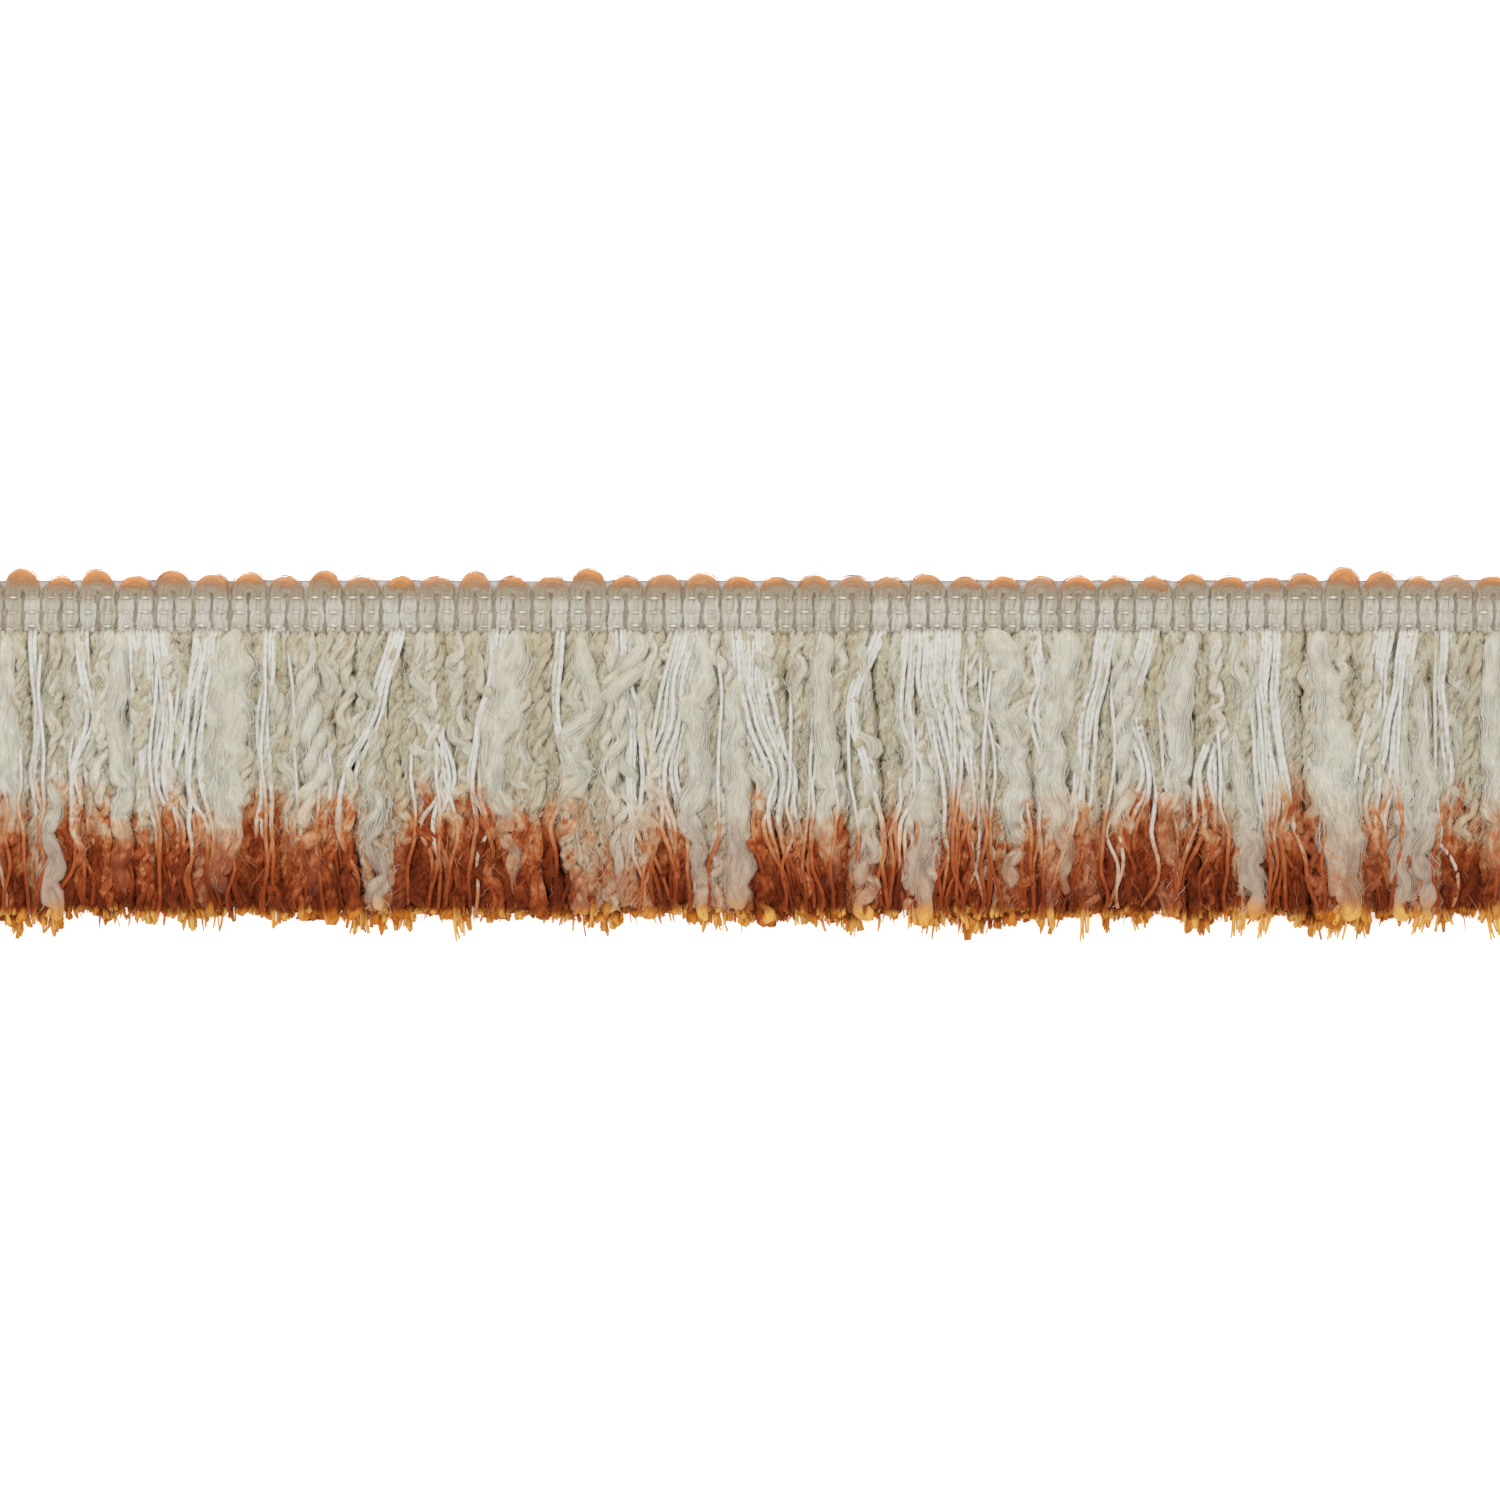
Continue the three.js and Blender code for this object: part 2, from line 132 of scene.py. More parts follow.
class Yarns:
    """Closed tubes with their texture coordinates, gathered into one mesh."""

    def __init__(self):
        self.parts = []

    def add(self, path, wide, tall, sides, dye, seed, amber=0.0, lilac=0.0, lumps=None):
        """path is (tube, point, xyz); wide and tall are half sizes across it and upwards.

        lumps gives how much each point and side of a tube swells.
        """
        path = np.asarray(path, float)
        tubes, points, _ = path.shape
        full = lambda v: np.broadcast_to(np.asarray(v, float), (tubes, points)).copy()
        along = np.gradient(path, axis=1)
        along /= np.linalg.norm(along, axis=2, keepdims=True) + 1e-9
        across = np.cross(along, np.array([0.0, 0.0, 1.0]))
        across /= np.linalg.norm(across, axis=2, keepdims=True) + 1e-9
        up = np.cross(across, along)
        theta = np.arange(sides) * 2 * np.pi / sides
        wide, tall = full(wide), full(tall)
        c = wide[:, :, None] * np.cos(theta)
        s = tall[:, :, None] * np.sin(theta)
        if lumps is not None:
            c, s = c * lumps, s * lumps
        rings = path[:, :, None] + across[:, :, None] * c[..., None] + up[:, :, None] * s[..., None]
        step = np.linalg.norm(np.diff(path, axis=1), axis=2)
        run = np.concatenate([np.zeros((tubes, 1)), np.cumsum(step, axis=1)], axis=1)
        seed = np.broadcast_to(np.asarray(seed, float), (tubes,))
        # The run starts elsewhere in each tube, so that no two show the same grain.
        self.parts.append(
            dict(
                path=path, rings=rings, c=c, s=s, run=run + 61.0 * seed[:, None], seed=seed,
                dye=full(dye), amber=full(amber), lilac=full(lilac),
                size=(run[:, -1].mean(), 3.0 * (wide + tall).mean()),
            )
        )

    def mesh(self, name, material, slot):
        total = sum(p["path"].shape[0] for p in self.parts)
        length = np.mean([p["size"][0] for p in self.parts])
        girth = np.mean([p["size"][1] for p in self.parts])
        columns = max(1, int(round(math.sqrt(total * length / girth))))
        rows = math.ceil(total / columns)
        verts, runs, tones, tint_and_shade_parts, quads, tris, quad_uv, tri_uv = [], [], [], [], [], [], [], []
        base, cell = 0, 0
        for p in self.parts:
            tubes, points, sides, _ = p["rings"].shape
            per = points * sides + 2
            block = np.concatenate(
                [p["rings"].reshape(tubes, -1, 3), p["path"][:, :1], p["path"][:, -1:]], axis=1
            )
            verts.append(block.reshape(-1, 3))
            spread = lambda v: np.repeat(v, sides, axis=1)
            ends = lambda v: np.concatenate([spread(v), v[:, :1], v[:, -1:]], axis=1)
            flat = lambda v: np.concatenate([v.reshape(tubes, -1), np.zeros((tubes, 2))], axis=1)
            seed = np.repeat(p["seed"][:, None], per, axis=1)
            runs.append(joined(ends(p["run"]), flat(p["c"]), flat(p["s"])).reshape(-1, 3))
            tones.append(joined(ends(p["dye"]), seed, ends(p["amber"])).reshape(-1, 3))
            tint_and_shade_parts.append(ends(p["lilac"]).reshape(-1))
            first = base + np.arange(tubes)[:, None, None] * per
            i = np.arange(points - 1)[None, :, None] * sides
            j = np.arange(sides)[None, None, :]
            k = (j + 1) % sides
            a, b = first + i + j, first + i + k
            quads.append(joined(a, a + sides, b + sides, b).reshape(-1, 4))
            j, k = j[:, 0], k[:, 0]
            first = first[:, :, 0]
            head = first + points * sides
            last = first + (points - 1) * sides
            tris.append(joined(head, first + j, first + k).reshape(-1, 3))
            tris.append(joined(head + 1, last + k, last + j).reshape(-1, 3))
            # One upright strip of the atlas for each tube.
            number = cell + np.arange(tubes)
            u0, v0 = (number % columns) / columns, (number // columns) / rows
            inner = 0.92
            us = u0[:, None] + (0.04 + inner * np.arange(sides + 1) / sides)[None] / columns
            vs = v0[:, None] + (0.04 + inner * np.arange(points) / (points - 1))[None] / rows
            ua, ub = us[:, None, :-1], us[:, None, 1:]
            va, vb = vs[:, :-1, None], vs[:, 1:, None]
            corners = [joined(ua, va), joined(ua, vb), joined(ub, vb), joined(ub, va)]
            quad_uv.append(np.stack(corners, 3).reshape(-1, 2))
            left, right = us[:, :-1], us[:, 1:]
            for v_edge, v_out, begin, end in (
                (vs[:, :1], vs[:, :1] - 0.02 / rows, left, right),
                (vs[:, -1:], vs[:, -1:] + 0.02 / rows, right, left),
            ):
                corners = [joined(0.5 * (left + right), v_out), joined(begin, v_edge), joined(end, v_edge)]
                tri_uv.append(np.stack(corners, 2).reshape(-1, 2))
            base += tubes * per
            cell += tubes
        verts = np.concatenate(verts)
        # What would dip into the surface below is pressed flat just above it.
        low = np.minimum(verts[:, 2], PRESSED)
        verts[:, 2] += PRESSED * np.exp(low / PRESSED - 1) - low
        return new_mesh(
            name, verts * MM, np.concatenate(quads), np.concatenate(tris),
            np.concatenate(quad_uv + tri_uv),
            {"run": np.concatenate(runs), "tone": np.concatenate(tones)},
            {"lilac": np.concatenate(tint_and_shade_parts)}, material,
        )


def new_mesh(name, verts, quads, tris, uvs, vectors, floats, material):
    data = bpy.data.meshes.new(name)
    data.vertices.add(len(verts))
    data.vertices.foreach_set("co", np.ascontiguousarray(verts, dtype=np.float32).ravel())
    corners = np.concatenate([quads.ravel(), tris.ravel()]).astype(np.int32)
    data.loops.add(len(corners))
    data.loops.foreach_set("vertex_index", corners)
    starts = np.concatenate([np.arange(len(quads)) * 4, 4 * len(quads) + np.arange(len(tris)) * 3])
    data.polygons.add(len(starts))
    data.polygons.foreach_set("loop_start", starts.astype(np.int32))
    data.update(calc_edges=True)
    data.uv_layers.new(name="OFBake").data.foreach_set("uv", uvs.astype(np.float32).ravel())
    for key, values in vectors.items():
        layer = data.attributes.new(key, "FLOAT_VECTOR", "POINT")
        layer.data.foreach_set("vector", values.astype(np.float32).ravel())
    for key, values in floats.items():
        data.attributes.new(key, "FLOAT", "POINT").data.foreach_set("value", values.astype(np.float32))
    data.shade_smooth()
    data.materials.append(material)
    piece = bpy.data.objects.new(name, data)
    bpy.context.scene.collection.objects.link(piece)
    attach(piece, "root")
    return piece


# Materials

def linear(rgb):
    """Scene colour of a display colour given from 0 to 255."""
    c = np.asarray(rgb, float) / 255
    c = np.where(c <= 0.04045, c / 12.92, ((c + 0.055) / 1.055) ** 2.4)
    return (*c, 1.0)


DYE_STOPS = (
    (0.00, (226, 208, 180)),
    (0.15, (222, 184, 146)),
    (0.32, (212, 148, 100)),
    (0.52, (190, 100, 52)),
    (0.75, (156, 68, 28)),
    (1.00, (116, 45, 13)),
)
# Colours of the cut ends, from dark rust dye at the root to bright gold, a painted glow of light shining
# through the thin ends.
AMBER_GLOW_STOPS = (
    (0.00, (98, 40, 10)),
    (0.25, (164, 76, 18)),
    (0.55, (226, 136, 40)),
    (1.00, (250, 196, 106)),
)
LILAC = (190, 160, 140)
PLY_TURN = 1.9  # a cord's plies go round once in this length
PLY_REACH = 2.1  # one over a cord's half width


class Nodes:
    """Short names for the nodes of one material."""

    def __init__(self, name):
        self.material = bpy.data.materials.new(name)
        self.material.use_nodes = True
        self.tree = self.material.node_tree
        self.shader = self.tree.nodes["Principled BSDF"]

    def node(self, kind, inputs=(), **settings):
        made = self.tree.nodes.new(kind)
        for key, value in settings.items():
            setattr(made, key, value)
        for key, value in dict(inputs).items():
            self.feed(made.inputs[key], value)
        return made

    def feed(self, socket, value):
        if isinstance(value, bpy.types.NodeSocket):
            self.tree.links.new(value, socket)
        else:
            socket.default_value = value

    def attribute(self, name, output="Vector"):
        return self.node("ShaderNodeAttribute", attribute_name=name).outputs[output]

    def place(self):
        return self.node("ShaderNodeTexCoord").outputs["Object"]

    def split(self, vector):
        return self.node("ShaderNodeSeparateXYZ", {"Vector": vector}).outputs

    def maths(self, operation, a, b=0.5, clamp=False):
        made = self.node("ShaderNodeMath", operation=operation, use_clamp=clamp)
        self.feed(made.inputs[0], a)
        self.feed(made.inputs[1], b)
        return made.outputs[0]

    def between(self, value, low, high, to_low=0.0, to_high=1.0):
        made = self.node("ShaderNodeMapRange", {"Value": value, "From Min": low, "From Max": high,
                                                "To Min": to_low, "To Max": to_high})
        return made.outputs["Result"]

    def mix(self, share, a, b, blend="MIX"):
        made = self.node("ShaderNodeMix", data_type="RGBA", blend_type=blend)
        self.feed(made.inputs[0], share)
        self.feed(made.inputs[6], a)
        self.feed(made.inputs[7], b)
        return made.outputs[2]

    def ramp(self, value, stops):
        made = self.node("ShaderNodeValToRGB", {"Fac": value})
        elements = made.color_ramp.elements
        elements[0].position, elements[0].color = stops[0][0], linear(stops[0][1])
        elements[1].position, elements[1].color = stops[-1][0], linear(stops[-1][1])
        for place, colour in stops[1:-1]:
            elements.new(place).color = linear(colour)
        return made.outputs["Color"]

    def stretched(self, vector, scale):
        made = self.node("ShaderNodeVectorMath", operation="MULTIPLY")
        self.feed(made.inputs[0], vector)
        made.inputs[1].default_value = scale
        return made.outputs[0]

    def noise(self, vector, scale=1.0, detail=2.0, rough=0.5):
        made = self.node("ShaderNodeTexNoise", {"Vector": vector, "Scale": scale, "Detail": detail,
                                                "Roughness": rough})
        return made.outputs["Fac"]

    def bump(self, height, strength, distance, normal=None):
        made = self.node("ShaderNodeBump", {"Height": height, "Strength": strength, "Distance": distance})
        if normal is not None:
            self.feed(made.inputs["Normal"], normal)
        return made.outputs["Normal"]

    def shaded(self, colour, red, green, blue):
        """The colour multiplied by a shade for each of its parts."""
        shade = self.node("ShaderNodeCombineXYZ", {"X": red, "Y": green, "Z": blue}).outputs[0]
        return self.mix(1.0, colour, shade, "MULTIPLY")

    def surface(self, colour, normal=None, **levels):
        """The finished material; the levels are the shader's other inputs, with _ for a space."""
        self.feed(self.shader.inputs["Base Color"], colour)
        if normal is not None:
            self.feed(self.shader.inputs["Normal"], normal)
        for key, value in levels.items():
            self.feed(self.shader.inputs[key.replace("_", " ")], value)
        return self.material


def yarn_material(name, warm, cool, grain, depth, streak, sheen, plies=False,
                  shade_colour=(190, 160, 108), above=3.2, tint_and_shade_colour=LILAC, curls=0.0):
    """Yarn that runs from clean through the dye to its cut end.

    grain is the fibres' fineness; below the height above, in mm, the yarn turns to a darker colour,
    painted shade for yarn that lies low between the others; curls is how strongly small tight curls break
    up its surface, with painted shade in their hollows.
    """
    n = Nodes(name)
    dye, seed, amber = n.split(n.attribute("tone"))
    lilac = n.attribute("lilac", "Fac")
    run = n.attribute("run")
    place = n.place()
    fibres = n.noise(n.stretched(run, (0.16 * grain, 1.25 * grain, 1.25 * grain)), 1.0, 4.0, 0.66)
    patches = n.noise(place, 380.0, 3.0, 0.6)
    spots = n.maths("MULTIPLY", n.maths("SUBTRACT", patches, 0.5), n.between(dye, 0.02, 0.30, 0.0, 0.55))
    amount = n.maths("ADD", dye, spots, clamp=True)
    clean = n.mix(seed, linear(warm), linear(cool))
    clean = n.mix(n.between(patches, 0.45, 0.80, 0.0, 0.30), clean, linear((196, 184, 156)))
    # Yarn that lies low between the others takes the darker colour: painted shade where the others keep
    # the light off it.
    sunk = n.between(n.split(place)[2], above * MM, (above - 2.2) * MM, 0.0, 0.85)
    clean = n.mix(sunk, clean, linear(shade_colour))
    taken = amount
    if curls:
        # Painted shade in the hollows of the small curls, which take the darker colour and, in the dye,
        # more dye; painted highlight on their tops, which take less dye.
        crimp = n.noise(n.stretched(place, (1.0, 0.75, 0.8)), 620.0, 2.5, 0.6)
        clean = n.mix(n.between(crimp, 0.50, 0.34, 0.0, 0.5 * curls), clean, linear(shade_colour))
        taken = n.maths("ADD", amount, n.between(crimp, 0.36, 0.64, 0.16, -0.16), clamp=True)
    dyed = n.ramp(taken, DYE_STOPS)
    colour = n.mix(n.between(amount, 0.0, 0.30), clean, dyed)
    # A tint: a lilac cast on white yarn low in the dye, and on the heading's ribs painted shade towards
    # the loops.
    colour = n.mix(lilac, colour, linear(tint_and_shade_colour))
    # The cut ends run up this ramp from dark dyed rust to bright gold, a painted glow of light shining
    # through them; less dyed ends glow brighter.
    glow_level = n.maths("ADD", n.maths("MULTIPLY", seed, 0.70), n.between(amber, 0.2, 1.0, -0.15, 0.30))
    glow_level = n.maths("ADD", glow_level, n.between(dye, 0.0, 1.0, 0.45, 0.0))
    glow_level = n.maths("ADD", glow_level, n.between(patches, 0.3, 0.7, -0.2, 0.2), clamp=True)
    colour = n.mix(amber, colour, n.ramp(glow_level, AMBER_GLOW_STOPS))
    shade = n.between(fibres, 0.28, 0.72, 1.0 - streak, 1.0 + 0.4 * streak)
    colour = n.shaded(colour, shade, shade, n.maths("POWER", shade, 1.3))
    normal = n.bump(fibres, depth, 0.0006)
    if curls:
        normal = n.bump(crimp, curls, 0.0014, normal)
    if plies:
        # Two plies twisted round each other: a groove that goes twice round the yarn.
        along, across, up = n.split(run)
        phase = n.maths("MULTIPLY", along, 2.0 * math.pi / PLY_TURN)
        c = n.maths("MULTIPLY", across, PLY_REACH)
        s = n.maths("MULTIPLY", up, PLY_REACH)
        cos2 = n.maths("SUBTRACT", n.maths("MULTIPLY", c, c), n.maths("MULTIPLY", s, s))
        sin2 = n.maths("MULTIPLY", n.maths("MULTIPLY", c, s), 2.0)
        groove = n.maths(
            "ADD",
            n.maths("MULTIPLY", n.maths("SINE", phase), cos2),
            n.maths("MULTIPLY", n.maths("COSINE", phase), sin2),
        )
        normal = n.bump(groove, 0.5, 0.00012, normal)
    return n.surface(colour, normal, Sheen_Tint=colour, Roughness=0.9, Sheen_Weight=sheen,
                     Sheen_Roughness=0.6, Specular_IOR_Level=0.2)


def loop_material():
    """Soft yarn that is apricot at the crown of each loop and grey-brown at its foot;
    the apricot is partly dye, partly a painted glow of light shining through the thin crown.
    """
    n = Nodes("loop_yarn")
    height, seed, _ = n.split(n.attribute("tone"))
    fibres = n.noise(n.stretched(n.attribute("run"), (0.8, 5.0, 5.0)), 1.0, 3.0, 0.6)
    uneven = n.maths("MULTIPLY", n.maths("SUBTRACT", n.noise(n.place(), 260.0, 2.0), 0.5), 0.7)
    level = n.maths("ADD", height, uneven, clamp=True)
    colour = n.ramp(level, (
        (0.00, (194, 180, 157)), (0.42, (188, 168, 143)), (0.60, (184, 150, 118)),
        (0.76, (196, 136, 88)), (1.00, (228, 160, 100)),
    ))
    pale = n.mix(n.between(seed, 0.3, 1.0, 0.0, 0.5), colour, linear((196, 168, 142)))
    shade = n.between(fibres, 0.25, 0.75, 0.82, 1.08)
    colour = n.shaded(pale, shade, shade, shade)
    # Some light seeps through the fibres, a little warmer than what falls on them.
    return n.surface(colour, n.bump(fibres, 0.5, 0.0003), Roughness=0.85, Sheen_Weight=0.35,
                     Subsurface_Weight=0.2, Subsurface_Radius=(1.0, 0.97, 0.92), Subsurface_Scale=MM)


def tape_material():
    """Plain woven selvedge, pale with a lilac cast, crossed by fine threads, with painted shade between
    the ribs.
    """
    n = Nodes("heading_tape")
    place = n.place()
    x, y, _ = n.split(place)
    warp = n.maths("SINE", n.maths("MULTIPLY", x, 2 * math.pi / 0.0007))
    weft = n.maths("SINE", n.maths("MULTIPLY", y, 2 * math.pi / 0.0006))
    weave = n.maths("MULTIPLY", warp, weft)
    wear_and_shade = n.noise(place, 900.0, 3.0, 0.6)
    edge = n.between(y, 0.0034, 0.0046)
    pale = n.mix(n.between(wear_and_shade, 0.35, 0.7), linear((242, 237, 234)), linear((226, 218, 212)))
    # Below the selvedge the band shows only in the narrow gaps between the ribs, painted darker there as
    # shade; the noise varies this painted shade and the selvedge's own tone.
    shade_between_ribs = n.mix(n.between(wear_and_shade, 0.3, 0.7), linear((168, 150, 126)), linear((196, 182, 160)))
    colour = n.mix(edge, shade_between_ribs, pale)
    colour = n.mix(n.between(weave, -1.0, 1.0, 0.0, 0.12), colour, linear((236, 231, 230)))
    return n.surface(colour, n.bump(weave, 0.6, 0.0002), Roughness=0.9, Sheen_Weight=0.2)


def floor_material():
    n = Nodes("studio_floor")
    colour = n.mix(n.noise(n.place(), 40.0, 2.0), (0.93, 0.93, 0.93, 1), (0.95, 0.95, 0.95, 1))
    return n.surface(colour, Roughness=0.95, Specular_IOR_Level=0.1, Emission_Color=(1, 1, 1, 1),
                     Emission_Strength=0.5)


# The yarns' places

# Waves in a yarn's drift: height, length in X, turns down the skirt and phase.
SWAYS = ((1.6, 47.0, 0.9, 0.6), (1.0, 21.0, 1.7, 2.1), (0.5, 8.0, 2.6, 4.0))


def sway(x, y):
    """How far a yarn rooted at x has drifted sideways by height y."""
    down = (ROOT_Y - y) / (ROOT_Y - SKIRT_Y)
    hold = 1 - np.clip(np.abs(2 * x / LENGTH), 0, 1) ** 8
    moved = 0.0
    for height, length, turns, phase in SWAYS:
        start = 2 * np.pi * x / length + phase
        moved = moved + 0.5 * height * (np.sin(start + 2 * np.pi * turns * down) - np.sin(start))
    return moved * hold


def root_places(count):
    """The places along the heading from which a layer of yarns hangs."""
    return np.linspace(LEFT + 2.6, -LEFT - 2.6, count)


def kept(x):
    """x held inside the trim's two cut ends."""
    return np.clip(x, LEFT + END_HOLD, -LEFT - END_HOLD)


def rise(y, low, high, full=-6.6):
    """Height of a yarn that leaves the heading at low and lies at high further down."""
    return low + (high - low) * smooth(0, 1, (ROOT_Y - y) / (ROOT_Y - full))


def tapered(size, t, head=0.03, tail=0.04, least=0.45):
    """A half size that narrows towards both ends of the yarn."""
    ends = np.clip(np.minimum(t / head, (1 - t) / tail), 0, 1)
    return size * (least + (1 - least) * np.sqrt(ends))


def edge_wave(x):
    """How far the lower edge of the skirt swings up and down."""
    return 2.2 * drift1(x / 15.0, 72) + 1.9 * drift1(x / 5.2, 73)


def tip_line(x, salt, spread):
    """Height of a yarn's cut end: an uneven line with a few long ends."""
    long_ends = spread * scatter(np.arange(len(x)), salt) ** 3
    return SKIRT_Y + edge_wave(x) + 0.8 * jitter(x, salt + 50) - long_ends


def ply(yarns, x, y, z, number, spread, size, period, start, sides, dye, seed, amber, lilac=0.0):
    """Yarns of several strands that twist round a middle line; start is each yarn's first angle."""
    for k in range(number):
        angle = 2 * np.pi * (k / number - y / period) + start
        path = joined(kept(x + spread * np.cos(angle)), y, z + 0.85 * spread * np.sin(angle))
        tone = np.clip(seed + 0.5 * jitter(np.arange(len(seed)) * 7 + k, 31), 0, 1)
        yarns.add(path, size, 0.92 * size, sides, dye, tone, amber=amber, lilac=lilac)


# The skirt

def back_locks():
    """Soft crinkled locks that lie on the floor and close the skirt behind the rest."""
    count, points = 106, 34
    x0 = root_places(count)
    seed = scatter(np.arange(count), 21)
    t = np.linspace(0, 1, points)[None]
    tip = tip_line(x0, 22, 2.0)[:, None]
    y = ROOT_Y + (tip - ROOT_Y) * t
    key = np.arange(count)[:, None]
    x = x0[:, None] + sway(x0[:, None], y) + 0.4 * drift1(y / 2.6 + 31.0 * key, 24)
    size = tapered(1.70 * (1 + 0.20 * drift1(y / 1.6 + 17.0 * key, 23)), t)
    z = rise(y, 0.9, 2.4)
    dye = dye_at(x, y, (seed[:, None] - 0.5) * 3.0 + 1.5, 0.85 * resist_at(x0)[:, None])
    yarns = Yarns()
    start = 6.3 * seed[:, None] + 5.0 * drift1(y / 5.5 + 11.0 * key, 25)
    amber = amber_glow_at(y, -58.6)
    ply(yarns, x, y, z, 2, 0.85, size, 11.0, start, 4, dye, 0.3 * seed, amber)
    # A flat strand along the middle closes the gaps down to the floor.
    few = slice(None, None, 3)
    strand = joined(kept(x), y, 1.02)[:, few]
    yarns.add(strand, 2.5, 1.0, 4, dye[:, few], 0.3 * seed, amber=amber[:, few])
    return yarns


# Where some yarns stay white down to the cut ends: middle, half width and how white.
WHITE_ZONES = (
    (-141.6, 2.6, 0.9), (-76.6, 3.0, 0.8), (-30.0, 7.0, 0.75), (-10.4, 4.2, 0.7), (-4.6, 3.2, 0.9),
    (32.8, 3.2, 0.85), (49.8, 2.4, 0.5), (63.0, 6.0, 0.3), (98.8, 2.8, 0.9), (116.8, 4.6, 0.7),
    (131.0, 5.0, 0.8), (21.4, 3.0, 0.6), (-110.0, 3.0, 0.35), (84.0, 2.4, 0.3), (148.0, 2.6, 0.4),
)


def resist_at(x):
    share = 0.0 * x
    for middle, half, white in WHITE_ZONES:
        share = np.maximum(share, white * smooth(0, 1, 1.6 - np.abs(x - middle) / half))
    return share


# The crinkled yarns, from fine and nubby to stout and slack.
FINE_BOUCLE = dict(count=66, points=96, sides=4, salt=400, strands=2, twist=5.2, spread=0.46, size=0.62,
                   period=7.0, swing=0.50, lies=3.0, nub=1.5, crinkle=0.75)
STOUT_BOUCLE = dict(count=50, points=76, sides=5, salt=430, strands=2, twist=8.0, spread=0.70, size=0.92,
                    period=9.0, swing=0.85, lies=3.5, nub=2.3, crinkle=0.6)
ROVING = dict(count=40, points=58, sides=4, salt=460, strands=5, twist=19.0, spread=0.92, size=0.78,
              period=11.0, swing=1.30, lies=3.1, nub=4.0, crinkle=0.0)


def boucle(kind):
    """Twisted crinkled yarns that sway as they hang, thick and thin by turns."""
    yarns = Yarns()
    count, points, salt = kind["count"], kind["points"], kind["salt"]
    key = np.arange(count)
    seed = scatter(key, salt)
    x0 = kept(root_places(count) + 0.7 * (LENGTH / count) * jitter(key, salt + 1))
    t = np.linspace(0, 1, points)[None]
    tip = tip_line(x0, salt + 2, 3.0)[:, None]
    y = ROOT_Y + (tip - ROOT_Y) * t
    k = key[:, None]
    period = kind["period"] * (0.75 + 0.6 * scatter(key, salt + 3)[:, None])
    phase = 2 * np.pi * (-y / period + 0.9 * noise1(y / 8.0 + 5.0 * k, salt + 5)) + 6.3 * seed[:, None]
    slack = smooth(0.1, 0.9, noise1(y / 9.0 + 13.0 * k, salt + 4))
    swing = kind["swing"] * (0.35 + 0.95 * slack) * smooth(0, 1, (ROOT_Y + 0.6 - y) / 7.0)
    x = x0[:, None] + sway(x0[:, None], y) + swing * np.sin(phase)
    x = x + 1.6 * drift1(y / 10.0 + 3.0 * k, salt + 6)
    x = x + kind["crinkle"] * drift1(y / kind["nub"] + 23.0 * k, salt + 11)
    y = y + 0.25 * swing * np.sin(2 * phase + 0.8)
    nubs = drift1(y / kind["nub"] + 7.0 * k, salt + 9)
    fat = (0.85 + 0.3 * scatter(key, salt + 8)[:, None]) * (1 + 0.75 * nubs)
    z = rise(y, 2.4, kind["lies"] + 0.7 * jitter(k, salt + 14)) + 0.4 * swing * np.cos(phase)
    z = z + 0.8 * drift1(y / 6.0 + 9.0 * k, salt + 7)
    white = np.clip(1.5 * resist_at(x0)[:, None] * (0.6 + 0.4 * seed[:, None]), 0, 0.90)
    white = white * (1 - 0.20 * smooth(-50.0, -58.0, y))
    dye = dye_at(x, y, (seed[:, None] - 0.5) * 5.0, white) * (0.62 + 0.50 * scatter(k, salt + 13))
    start = 6.3 * scatter(k, salt + 10) + 4.5 * drift1(y / 5.0 + 19.0 * k, salt + 12)
    ply(yarns, x, y, z, kind["strands"], kind["spread"] * fat * smooth(-0.05, 0.12, t),
        tapered(kind["size"] * fat, t, 0.02, 0.02), kind["twist"] * (0.8 + 0.4 * seed[:, None]), start,
        kind["sides"], dye, seed, amber_glow_at(y, -59.4), 0.55 * white * smooth(-40.0, -52.0, y))
    return yarns


